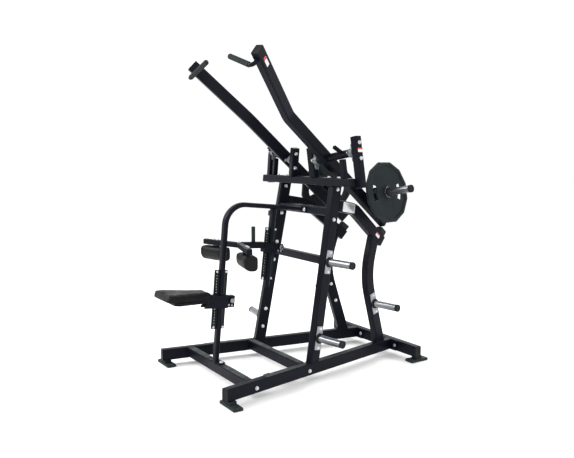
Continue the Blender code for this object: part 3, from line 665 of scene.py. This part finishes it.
# ---------------------------------------------------------------- CAD nodes
def dress_cad():
    """Give every CAD node its finish."""
    kinds = {"paint": PAINT, "rubber": RUBBER, "zinc": bright_steel("turned_steel"),
             "plate": cast_enamel("cast_enamel"), "bearing": cast_housing("cast_housing"),
             "vinyl": VINYL}
    for node in frame["nodes"].values():
        for index, found in enumerate(node.material_slots):
            kind = found.material.name.split(".")[0].rsplit("_", 1)[-1]
            node.material_slots[index].material = kinds[kind]

    for side, flip in SIDES:
        pivot_turn, side_turn = (flip @ PIVOT).to_3x3(), (flip @ SIDE).to_3x3()
        sleeve = flip @ PIVOT @ Vector((PLATE_X + 0.001, 0, 0))
        frame["nodes"]["weight_horn_" + side].material_slots[0].material = powder_coat(
            "horn_" + side, regions=[(sleeve, pivot_turn @ ACROSS, STEEL, 0.30, 0.92)])
        root = flip @ SIDE @ Vector((STORAGE_FACE + 0.0002, 0, 0))
        tone = powder_coat("storage_" + side, *PALE_COAT,
                           regions=[(root, side_turn @ ACROSS, STEEL, 0.30, 0.92)])
        for place in ("low", "high", "rear"):
            frame["nodes"][f"storage_horn_{place}_{side}"].material_slots[0].material = tone

    for node, post, directions in (("seat_post", seat_frame(0), (-1,)),
                                   ("thigh_post", thigh_frame(0), (-1, 1))):
        regions = []
        for direction in directions:
            point = post @ Vector((0, direction * (FLAT_D / 2 + 0.0004), 0))
            regions.append((point, post.to_3x3() @ Vector((0, direction, 0)), GREEN, 0.55, 0.0))
        coat = powder_coat(node + "_coat", regions=regions)
        frame["nodes"][node].material_slots[0].material = coat


# ---------------------------------------------------------------- fixed frame
def end_plugs():
    """Plugs in the tube ends that stand open on the fixed frame."""
    level = RAIL_TOP - TUBE_D / 2
    slope = Vector((0, BRACE_END[0] - BRACE_BEND[0], BRACE_END[1] - BRACE_BEND[1])).normalized()
    brace_up = Vector((0, -slope.z, slope.y))
    plug = tube_plug()
    small = tube_plug(POST, POST)
    items = [
        (plug, SIDE @ facing((0, RAIL_FRONT, level), (0, -1, 0))),
        (plug, MACHINE @ facing((REAR_CROSS_HALF, (REAR_CROSS_FACE + REAR_CROSS_BACK) / 2, level),
                                (1, 0, 0))),
        (plug, SIDE @ facing((0, *BRACE_END), slope, brace_up)),
        (small, PIVOT @ facing((POST_X, 0, POST_Z[1]), (0, 0, 1), (0, 1, 0))),
        (small, PIVOT @ facing((POST_X, 0, POST_Z[0]), (0, 0, -1), (0, 1, 0))),
    ]
    beam = [MACHINE @ Vector((x, HEAD_Y, HEAD_Z + HEAD_H / 2)) for x in (0, 1)]
    start, further = (PIVOT.inverted() @ point for point in beam)
    x = (POST_X - POST / 2 - 0.0005 - start.x) / (further.x - start.x)
    end = MACHINE @ Vector((x, HEAD_Y, HEAD_Z + HEAD_H / 2))
    items.append((tube_plug(HEAD_D, HEAD_H), facing(end, PIVOT.to_3x3() @ ACROSS)))
    piece("tube_plugs", joined(both(items)), PLASTIC, "frame")


def frame_bolts():
    """Bolt heads, and nuts on the far side, wherever the frame is bolted together."""
    head, nut = bolt(), bolt(nut=True)
    half = TUBE_W / 2
    items = []
    for z in UPRIGHT_BOLTS_Z:
        y = upright_y(z)
        items.append((head, SIDE @ facing((half, y, z), (1, 0, 0))))
        items.append((nut, SIDE @ facing((-half, y, z), (-1, 0, 0))))
    for z in UPRIGHT_NUTS_Z:
        items.append((nut, SIDE @ facing((-half, upright_y(z), z), (-1, 0, 0))))
    for z in LEG_NUTS_Z:
        items.append((nut, SIDE @ facing((-half, leg_y(z), z), (-1, 0, 0))))
    for y in RAIL_BOLTS_Y:
        items.append((head, SIDE @ facing((half, y, RAIL_BOLT_Z), (1, 0, 0))))
        items.append((nut, SIDE @ facing((-half, y, RAIL_BOLT_Z), (-1, 0, 0))))
    for x in (FLANGE_X - FLANGE_BOLT_X, FLANGE_X + FLANGE_BOLT_X):
        face, back = REAR_CROSS_FACE - FLANGE_T, REAR_CROSS_BACK
        items.append((head, MACHINE @ facing((x, face, FLANGE_BOLT_Z), (0, -1, 0))))
        items.append((nut, MACHINE @ facing((x, back, FLANGE_BOLT_Z), (0, 1, 0))))
    for x in HEAD_BOLTS_X:
        items.append((head, MACHINE @ facing((x, HEAD_Y, HEAD_Z + HEAD_H), (0, 0, 1), (0, 1, 0))))
    for z in POST_BOLTS_Z:
        items.append((head, PIVOT @ facing((POST_X + POST / 2, 0, z), (1, 0, 0))))
        items.append((nut, PIVOT @ facing((INNER_POST_X - POST / 2, 0, z), (-1, 0, 0))))
    for y in (-BEARING_BOLT_Y, BEARING_BOLT_Y):
        items.append((bolt(0.8), PIVOT @ facing((BEARING_X[0], y, 0), (1, 0, 0))))
        items.append((bolt(0.8), PIVOT @ facing((BEARING_X[1], y, 0), (-1, 0, 0))))
    piece("frame_bolts", joined(both(items)), ZINC, "frame")


def hole_plugs():
    """Small black plugs in spare holes, low on the outer posts and on the uprights."""
    button = lathe([(0.0, 0.0), (0.0, 0.0070), (0.0008, 0.0066), (0.0014, 0.0050), (0.0010, 0.0030),
                    (0.0010, 0.0)], 24)
    items = [(button, PIVOT @ facing((POST_X + POST / 2, 0, POST_Z[0] + 0.034), (1, 0, 0))),
             (button, SIDE @ facing((TUBE_W / 2, UPRIGHT_FOOT + 0.030, RAIL_TOP + 0.052),
                                    (1, 0, 0)))]
    piece("hole_plugs", joined(both(items)), PLASTIC, "frame")


def middle_fasteners():
    """Bolts and small brackets on the machine's middle plane."""
    base = plate(0.118, 0.046, BRACKET_T, 0.006)
    lift = MACHINE @ at(0, SEAT_FOOT_Y + 0.018, RAIL_TOP + 0.0004)
    tie_face = MACHINE @ facing((0, *TIE_FACE), (0, -1, 0))
    brackets = [(base, lift), (plate(0.120, 0.044, BRACKET_T, 0.006), tie_face)]
    top = thigh_frame(0) @ facing((0, 0, -0.012), (0, -1, 0))
    brackets.append((plate(0.056, 0.034, 0.004, 0.004), top @ at(0, 0, FLAT_D / 2)))
    piece("post_brackets", joined(brackets), PAINT, "frame")

    head, small = bolt(), bolt(0.62)
    items = []
    for x in (-BRACKET_BOLT_X, BRACKET_BOLT_X):
        items.append((head, lift @ at(x, 0, BRACKET_T)))
        items.append((head, tie_face @ at(x, 0, BRACKET_T)))
    for span, post in ((SEAT_RACK, seat_frame), (THIGH_RACK, thigh_frame)):
        for distance in (span[0] + 0.010, span[1] - 0.010):
            for y in (-FLAT_D / 2 - 0.020, FLAT_D / 2 + 0.014):
                for x in (-1, 1):
                    place = facing((RACK_HALF_T * x, y, 0), (x, 0, 0))
                    items.append((small, post(distance) @ place))
    piece("post_bolts", joined(items), ZINC, "frame")

    length = SEAT_RACK[1] - SEAT_RACK[0]
    strip = plate(length - 0.004, 0.0220, 0.0008, 0.003, 0.0003)
    middle = seat_frame(sum(SEAT_RACK) / 2)
    items = [(strip, middle @ facing((RACK_HALF_T * x, FLAT_D / 2 + 0.0118, 0), (x, 0, 0),
                                     (0, 1, 0))) for x in (-1, 1)]
    edge = plate(length - 0.004, 0.0104, 0.0008, 0.003, 0.0003)
    items.append((edge, middle @ facing((0, FLAT_D / 2 + RACK_DEPTH, 0), (0, 1, 0), (1, 0, 0))))
    piece("wear_strip", joined(items), RUBBER, "frame")


def flange_plates():
    """Bolted end flanges where the rails meet the rear cross."""
    flange = plate(0.176, 0.074, FLANGE_T, 0.008)
    items = [(flange, MACHINE @ facing((FLANGE_X, REAR_CROSS_FACE - 0.0002, 0.0735), (0, -1, 0)))]
    piece("rail_flanges", joined(both(items)), PAINT, "frame")


def ribbed_strip(length, width, thickness=0.0014, pitch=0.0085):
    """A strip of anti-slip tape with low cross ribs, rounded at the corners."""
    count = int(length / pitch)
    items = [(plate(length, width, thickness, 0.006, 0.0004), Matrix())]
    rib = plate(pitch * 0.55, width * 0.86, 0.0009, 0.0015, 0.0004)
    for index in range(count):
        x = (index + 0.5) * length / count - length / 2
        items.append((rib, at(x, 0, thickness - 0.0002)))
    return joined(items)


def tread_strips():
    strip = ribbed_strip(*STRIP_SIZE)
    top = RAIL_TOP + 0.0003
    along_rail = at(0, STRIP_ON_RAIL_Y, top) @ Matrix.Rotation(pi / 2, 4, "Z")
    items = [(strip, SIDE @ along_rail),
             (strip, MACHINE @ at(STRIP_ON_FRONT_X, FRONT_CROSS_Y, top)),
             (strip, MACHINE @ at(STRIP_ON_MIDDLE_X, MIDDLE_CROSS_Y, top))]
    piece("tread_strips", joined(both(items)), TAPE, "frame")


def storage_fittings():
    """Collars at the roots of the storage horns, caps on their tips and bolts on their plates."""
    collar = lathe([(0.0, 0.0), (0.0, 0.0325), (0.010, 0.0325), (0.013, 0.0300), (0.013, 0.0240),
                    (0.013, 0.0)], 40)
    cap = lathe([(-0.014, 0.0), (-0.014, STORAGE_R + 0.0007), (0.0002, STORAGE_R + 0.0007),
                 (0.0016, STORAGE_R - 0.0008), (0.0016, STORAGE_R - 0.0060),
                 (0.0006, STORAGE_R - 0.0075), (0.0006, 0.0)], 40)
    collars, caps, bolts = [], [], []
    rise = (UPRIGHT_HEAD - UPRIGHT_FOOT) / (HEAD_Z - RAIL_TOP)
    for z, rear in STORAGE_SPOTS:
        y = STORAGE_REAR_Y if rear else upright_y(z)
        tilt = STORAGE_REAR_TILT if rear else -rise
        spot = SIDE @ at(0, y, z) @ Matrix.Rotation(tilt, 4, "X")
        collars.append((collar, spot @ at(STORAGE_FACE, 0, 0) @ OUTWARD))
        caps.append((cap, spot @ at(STORAGE_TIP, 0, 0) @ OUTWARD))
        for offset in (-STORAGE_BOLT_Z, STORAGE_BOLT_Z):
            bolts.append((bolt(0.85), spot @ at(STORAGE_FACE, 0, offset) @ OUTWARD))
    piece("storage_collars", joined(both(collars)), PLASTIC, "frame")
    piece("storage_caps", joined(both(caps)), PLASTIC, "frame")
    piece("storage_bolts", joined(both(bolts)), ZINC, "frame")


def frame_welds():
    """Weld beads where the side frames' tubes are joined."""
    half = TUBE_W / 2
    items = [(weld(TUBE_W, TUBE_D, slant=0.017), SIDE @ at(0, UPRIGHT_FOOT, RAIL_TOP)),
             (weld(TUBE_W, TUBE_D, slant=0.046), SIDE @ at(0, LEG_FOOT[0], RAIL_TOP)),
             (weld(TUBE_W, TUBE_D, slant=0.017),
              SIDE @ facing((0, UPRIGHT_HEAD, HEAD_Z), (0, 0, -1), (0, 1, 0)))]
    for y in (FRONT_CROSS_Y, MIDDLE_CROSS_Y):
        inside = SIDE.inverted() @ MACHINE @ Vector((0, y, RAIL_TOP - 0.032))
        along = inside.y - (inside.x + half) * sin(TOE) / cos(TOE)
        place = SIDE @ facing((-half, along, RAIL_TOP - 0.032), (-1, 0, 0))
        items.append((weld(0.051, 0.064), place))
    piece("frame_welds", joined(both(items)), PAINT, "frame")


def name_plates():
    """A blank data plate on each brace and small plain labels; none carries any lettering."""
    start, bend = Vector((0, *BRACE_START)), Vector((0, *BRACE_BEND))
    slope = (bend - start).normalized()
    centre = start.lerp(bend, 0.66)
    place = SIDE @ facing((TUBE_W / 2, centre.y, centre.z), (1, 0, 0), (0, -slope.z, slope.y))
    rim = bead([(x, y, 0.0014) for x, y in rounded_ring(0.106, 0.052, 0.005, 5)], 0.0007)
    blank = [(plate(0.116, 0.062, 0.0014, 0.006, 0.0004), place), (rim, place)]
    rivet = lathe([(0.0, 0.0), (0.0, 0.0026), (0.0009, 0.0021), (0.0013, 0.0)], 16)
    for x in (-0.054, 0.054):
        blank.append((rivet, place @ at(x, 0, 0.0014)))
    aluminium = bright_steel("plate_aluminium", (0, 0, 1), (0.78, 0.79, 0.80), (0.66, 0.67, 0.68),
                             (0.30, 0.45))
    piece("blank_plates", joined(both(blank)), aluminium, "frame")

    tail = (Vector((0, *BRACE_END)) - bend).normalized()
    spot = Vector((0, *BRACE_END)) - tail * 0.075
    brace = SIDE @ facing((TUBE_W / 2, spot.y, spot.z), (1, 0, 0), (0, -tail.z, tail.y))
    post = PIVOT @ facing((POST_X + POST / 2, 0.002, 0.006), (1, 0, 0))
    for name, place in (("brace_label", brace), ("post_label", post)):
        label = plate(0.044, 0.026, LABEL_T, 0.003, 0.0002)
        for side, flip in SIDES:
            middle = flip @ place @ Vector((0, 0.004, 0))
            up = (flip @ place).to_3x3() @ Vector((0, 1, 0))
            film = printed(f"{name}_film_{side}", *LABEL, middle, up)
            piece(f"{name}_{side}", joined([(label, flip @ place)]), film, "frame")


# ---------------------------------------------------------------- arms
def arm_points():
    rearward = Vector((0, cos(ARM_SLOPE), -sin(ARM_SLOPE)))
    bend = -rearward * ARM_BEND
    return rearward * ARM_REAR, bend, bend + ARM_FLARE


def arm_fittings():
    tail, bend, tip = arm_points()
    along, back = (tip - bend).normalized(), tail.normalized()
    side = (Vector((1, 0, 0)) - along * along.x).normalized()
    plug = tube_plug()
    cap = lathe([(-0.016, 0.0), (-0.016, HORN_R + 0.0008), (0.0002, HORN_R + 0.0008),
                 (0.0018, HORN_R - 0.0010), (0.0018, HORN_R - 0.0060), (0.0008, HORN_R - 0.0080),
                 (0.0008, 0.0)], 40)
    ring = lathe([(0.0, 0.0), (0.0, 0.0185), (0.005, 0.0185), (0.006, 0.0175), (0.006, 0.0)], 32)
    label_spot = tip - along * 0.085 + side * (TUBE_W / 2 + 0.0001)
    label = plate(0.026, 0.060, LABEL_T, 0.003, 0.0002)
    for name, flip in SIDES:
        body = "arm_" + name
        place = flip @ PIVOT
        plugs = [(plug, place @ facing(tip, along, along.cross(side))),
                 (plug, place @ facing(tail, back, (0, sin(ARM_SLOPE), cos(ARM_SLOPE))))]
        piece("arm_plugs_" + name, joined(plugs), PLASTIC, body)
        fitted = [(cap, place @ at(HORN_TIP, HORN_Y, HORN_Z) @ OUTWARD)]
        piece("horn_cap_" + name, joined(fitted), PLASTIC, body)
        rings = [(ring, place @ at(x, 0, 0) @ OUTWARD) for x in SHAFT_COLLARS_X]
        piece("shaft_collars_" + name, joined(rings), ZINC, body)
        spot = place @ facing(label_spot, side, along)
        band = spot @ Vector((0, 0.012, 0))
        film = printed("arm_label_film_" + name, *LABEL, band, spot.to_3x3() @ Vector((0, 1, 0)))
        piece("arm_label_" + name, joined([(label, spot)]), film, body)


def ribbed_grip(radius, length, pitch=0.0060, groove=0.0009):
    """A moulded grip: a flared root, rings all along it and a rounded end."""
    profile = [(0.0, 0.0), (0.0, radius - 0.002), (0.0012, radius - 0.0004), (0.004, radius),
               (0.010, radius)]
    count = int((length - 0.024) / pitch)
    for index in range(count):
        z = 0.012 + index * pitch
        profile += [(z, radius), (z + 0.0008, radius - groove), (z + 0.0020, radius - groove),
                    (z + 0.0028, radius)]
    profile += [(length - 0.006, radius), (length - 0.002, radius - 0.0016),
                (length - 0.0002, radius - 0.005), (length, 0.0)]
    return lathe(profile, 36)


def grips():
    """Rubber grips on the two handles and on the thigh pad's lever."""
    for name, _ in SIDES:
        node = "handle_grip_" + name
        mesh = frame["nodes"][node].data
        centre = sum((vert.co for vert in mesh.vertices), Vector()) / len(mesh.vertices)
        far = max((vert.co for vert in mesh.vertices), key=lambda co: (co - centre).length)
        inner = [vert.co for vert in mesh.vertices if (vert.co - far).length < 0.05]
        outer = [vert.co for vert in mesh.vertices if (vert.co - far).length > 0.19]
        ends = [sum(group, Vector()) / len(group) for group in (inner, outer)]
        root, end = sorted(ends, key=lambda co: -abs(co.x))
        axis = (end - root).normalized()
        spread = [(vert.co - root).dot(axis) for vert in mesh.vertices]
        root, length = root + axis * min(spread), max(spread) - min(spread)
        grip = ribbed_grip(0.0165, length)
        made = piece(f"handle_rubber_{name}", joined([(grip, facing(root, axis))]), RUBBER,
                     "arm_" + name)
        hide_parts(node)
    low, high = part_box("thigh_grip")
    middle = (low + high) / 2
    place = at(middle.x, middle.y, low.z)
    made = piece("lever_rubber", joined([(ribbed_grip(0.0128, high.z - low.z), place)]), RUBBER,
                 "thigh_pads")
    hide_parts("thigh_grip")


def plate_details():
    """A steel insert in each plate's bore, a raised ring round its hub and a lock collar."""
    insert = lathe([(0.0, 0.0258), (0.0, 0.0335), (0.0010, 0.0340), (0.0014, 0.0330),
                    (0.0014, 0.0258), (0.0, 0.0258)], 44)
    ring = lathe([(0.0, 0.0700), (0.0004, 0.0692), (0.0010, 0.0700), (0.0010, 0.0722),
                  (0.0004, 0.0730), (0.0, 0.0722), (0.0, 0.0700)], 56)
    lock = lathe([(0.0, 0.0258), (0.0, 0.0330), (0.0100, 0.0330), (0.0124, 0.0312),
                  (0.0130, 0.0285), (0.0130, 0.0258), (0.0, 0.0258)], 44)
    for name, flip in SIDES:
        outer = flip @ PIVOT @ at(PLATE_X + PLATE_T, HORN_Y, HORN_Z) @ OUTWARD
        piece("lock_collar_" + name, joined([(lock, outer @ at(0, 0, 0.0018))]), PLASTIC,
              "plate_" + name)
        inner = flip @ PIVOT @ at(PLATE_X, HORN_Y, HORN_Z) @ facing((0, 0, 0), (-1, 0, 0))
        web = at(0, 0, -(PLATE_T / 2 - 0.006))
        piece("bore_insert_" + name, joined([(insert, outer)]), ZINC, "plate_" + name)
        piece("raised_ring_" + name, joined([(ring, outer @ web), (ring, inner @ web)]),
              cast_enamel("ring_enamel_" + name), "plate_" + name)


# ---------------------------------------------------------------- upholstery
VOXEL = 0.005
PRESSURE = 4.0
TENSION = 25.0
BENDING = 1.2
CLOTH_STEPS = 20
SEAM_WIDTH = 0.0055
SEAM_DEPTH = 0.0016
WELT_R = 0.0015
STITCH_OFFSET = 0.0045


def cushion_mesh(node, shrink, cap, pinned):
    """The CAD solid swollen by cloth under pressure; pinned(co) says where it is held."""
    mesh = frame["nodes"][node].data.copy()
    centre = sum((vert.co for vert in mesh.vertices), Vector()) / len(mesh.vertices)
    low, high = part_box(node)
    size = high - low
    keep = Matrix.Diagonal([1 - 2 * shrink / size[axis] for axis in range(3)] + [1.0])
    mesh.transform(at(*centre) @ keep @ at(*-centre))
    obj = placed("swelling", mesh)
    remesh = obj.modifiers.new("remesh", "REMESH")
    remesh.mode = "VOXEL"
    remesh.voxel_size = VOXEL
    mesh = settled(obj)
    obj = placed("swelling", mesh)
    before = [vert.co.copy() for vert in mesh.vertices]
    held = obj.vertex_groups.new(name="held")
    for vert in mesh.vertices:
        if pinned(vert.co):
            held.add([vert.index], 1.0, "REPLACE")
    cloth = obj.modifiers.new("cloth", "CLOTH")
    cloth.settings.use_pressure = True
    cloth.settings.uniform_pressure_force = PRESSURE
    cloth.settings.vertex_group_mass = "held"
    cloth.settings.effector_weights.gravity = 0.0
    cloth.settings.tension_stiffness = TENSION
    cloth.settings.bending_stiffness = BENDING
    scene = bpy.context.scene
    for number in range(1, CLOTH_STEPS + 1):
        scene.frame_set(number)
    mesh = settled(obj)
    scene.frame_set(1)
    for vert, start in zip(mesh.vertices, before):
        move = vert.co - start
        if move.length > cap:
            vert.co = start + move.normalized() * cap
    return relaxed(mesh, 4)


def relaxed(mesh, times):
    bm = bmesh.new()
    bm.from_mesh(mesh)
    for _ in range(times):
        bmesh.ops.smooth_vert(bm, verts=bm.verts, factor=0.5, use_axis_x=True, use_axis_y=True,
                              use_axis_z=True)
    bm.to_mesh(mesh)
    bm.free()
    return mesh


def subdivided(mesh):
    obj = placed("fine", mesh)
    subdivision = obj.modifiers.new("fine", "SUBSURF")
    subdivision.levels = 1
    subdivision.render_levels = 1
    return settled(obj)


def sewn(mesh, point, normal, width, depth):
    """Pull the surface in along a plane, as a row of stitching does."""
    for vert in mesh.vertices:
        away = abs((vert.co - point).dot(normal))
        if away < width:
            pull = depth * (cos(pi * away / width) + 1) / 2
            vert.co -= vert.normal * pull
    return mesh


def seam_path(mesh, point, normal):
    """The closed line where a plane cuts the mesh, as ordered points."""
    bm = bmesh.new()
    bm.from_mesh(mesh)
    cut = bmesh.ops.bisect_plane(bm, geom=bm.verts[:] + bm.edges[:] + bm.faces[:], plane_co=point,
                                 plane_no=normal)["geom_cut"]
    edges = {item for item in cut if isinstance(item, bmesh.types.BMEdge)}
    start = max(edges, key=lambda edge: edge.calc_length())
    path, edge, vert = [], start, start.verts[0]
    while edge is not None:
        edges.discard(edge)
        path.append(vert.co.copy())
        vert = edge.other_vert(vert)
        edge = next((near for near in vert.link_edges if near in edges), None)
    bm.free()
    return path


def stitches(path, length=0.0042, gap=0.0022, radius=0.0005):
    """Short raised stitches laid along a seam."""
    points = resampled(path, length + gap)
    items = []
    for first, second in zip(points, points[1:] + points[:1]):
        reach = (second - first) * (length / (length + gap))
        stitch = bead([first, first + reach * 0.5, first + reach], radius, closed=False)
        items.append((stitch, Matrix()))
    return joined(items)


def upholstered(name, node, body, cuts, shrink, cap, pinned):
    """A padded piece with its sewn seams: welt cord in each seam and a row of stitches by it."""
    mesh = subdivided(cushion_mesh(node, shrink, cap, pinned))
    welts, threads = [], []
    for point, normal, offset in cuts:
        mesh = sewn(mesh, point, normal, SEAM_WIDTH, SEAM_DEPTH)
        mesh.update()
        path = resampled(seam_path(mesh, point, normal), 0.005)
        welts.append((bead(path, WELT_R), Matrix()))
        beside = seam_path(mesh, point + normal * offset, normal)
        threads.append((stitches(beside), Matrix()))
    pad = piece(name, mesh, VINYL, body)
    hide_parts(node)
    piece(name + "_welt", joined(welts), VINYL, body)
    piece(name + "_stitching", joined(threads), THREAD, body)


def seat():
    up = seat_frame(0).to_3x3() @ Vector((0, 0, 1))
    deck = seat_frame(SEAT_AT) @ Vector((0, 0, DECK_TOP))

    def pinned(co):
        return (co - deck).dot(up) < 0.006

    cuts = [(deck + up * (SEAT_T - 0.008), up, STITCH_OFFSET),
            (deck + up * 0.010, up, -STITCH_OFFSET)]
    upholstered("seat_cushion", "seat_pad", "seat", cuts, 0.004, 0.007, pinned)


def thigh_cushions():
    for name, flip in SIDES:
        node = "thigh_pad_" + name
        low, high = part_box(node)
        centre = (low + high) / 2
        along = flip.to_3x3() @ (THIGH_PAD_TURN.to_3x3() @ ACROSS)
        top = high.z

        def pinned(co):
            return co.z > top - 0.006

        cuts = [(centre + along * 0.082, along, STITCH_OFFSET),
                (centre - along * 0.082, along, -STITCH_OFFSET)]
        upholstered("thigh_cushion_" + name, node, "thigh_pads", cuts, 0.003, 0.006, pinned)


def thigh_hangers():
    """Bolted hanger straps that carry the thigh pads under the yoke."""
    low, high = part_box("thigh_pad_right")
    centre = (low + high) / 2
    top = high.z
    strap = plate(0.052, 0.064, 0.0030, 0.006)
    straps = [(strap, at(centre.x, centre.y, top - 0.0012) @ THIGH_PAD_TURN)]
    piece("thigh_straps", joined(both(straps)), PAINT, "thigh_pads")
    yoke_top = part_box("thigh_yoke")[1].z
    bolts = [(bolt(0.72), at(centre.x + x, centre.y + 0.006 - x * 0.27, yoke_top))
             for x in (-0.018, 0.018)]
    apex = [(bolt(0.8), at(0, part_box("thigh_yoke")[1].y - 0.020, yoke_top))]
    piece("yoke_bolts", joined(both(bolts) + apex), ZINC, "thigh_pads")


def carriage_details():
    """Screws and plain bushed holes on the two carriages' pin blocks."""
    screw = bolt(0.55)
    eyelet = lathe([(0.0, 0.0030), (0.0, 0.0056), (0.0008, 0.0056), (0.0012, 0.0048),
                    (0.0012, 0.0030), (0.0, 0.0030)], 24)
    block, rear = PIN_BLOCK_HALF, PIN_BLOCK_REAR
    for name, place, body, spots in (
            ("seat", seat_frame(SEAT_AT), "seat", ((0.014, -0.022), (0.036, -0.024))),
            ("thigh", thigh_frame(THIGH_AT), "thigh_pads", ((0.012, -0.016), (0.034, -0.016)))):
        items = []
        for y, z in spots:
            for x in (-1, 1):
                items.append((eyelet, place @ facing((x * block, rear + y, z), (x, 0, 0))))
        items.append((screw, place @ facing((-block, rear + 0.030, 0.008), (-1, 0, 0))))
        piece(name + "_eyelets", joined(items), ZINC, body)


# ---------------------------------------------------------------- studio
WORLD_STRENGTH = 1.05
LAMPS = (("key", (-2.6, -4.2, 4.2), 2.6, 260.0),
         ("fill", (4.6, -1.2, 3.0), 3.0, 50.0),
         ("rim", (-1.5, 4.0, 4.0), 2.5, 160.0))
CAMERA_AT = (3.598, -1.671 - MIDDLE_Y, 1.42)
CAMERA_DIP = radians(6.63)
CAMERA_TURN = radians(56.57)
LENS = 41.35
SENSOR = 36.0


def studio():
    bm = bmesh.new()
    bmesh.ops.create_grid(bm, x_segments=8, y_segments=8, size=40.0)
    floor = placed("floor", mesh_from(bm))
    floor.data.materials.append(floor_material())
    floor.location.z = -0.0005

    world = bpy.data.worlds.new("studio")
    world.use_nodes = True
    world.node_tree.nodes["Background"].inputs["Color"].default_value = (1.0, 1.0, 1.0, 1.0)
    world.node_tree.nodes["Background"].inputs["Strength"].default_value = WORLD_STRENGTH
    bpy.context.scene.world = world

    for name, spot, size, power in LAMPS:
        light = bpy.data.lights.new(name, "AREA")
        light.shape = "SQUARE"
        light.size = size
        light.energy = power
        lamp = placed(name, light)
        lamp.location = spot
        aim = Vector((0, 0, 1.0)) - Vector(spot)
        lamp.rotation_euler = aim.to_track_quat("-Z", "Y").to_euler()

    camera = placed("camera", bpy.data.cameras.new("camera"))
    camera.data.sensor_width = SENSOR
    camera.data.lens = LENS
    camera.location = CAMERA_AT
    camera.rotation_euler = (pi / 2 - CAMERA_DIP, 0.0, CAMERA_TURN)
    bpy.context.scene.camera = camera
    bpy.context.scene.view_settings.view_transform = "Standard"


dress_cad()
end_plugs()
frame_bolts()
hole_plugs()
middle_fasteners()
flange_plates()
tread_strips()
storage_fittings()
frame_welds()
name_plates()
arm_fittings()
grips()
plate_details()
seat()
thigh_cushions()
thigh_hangers()
carriage_details()
studio()
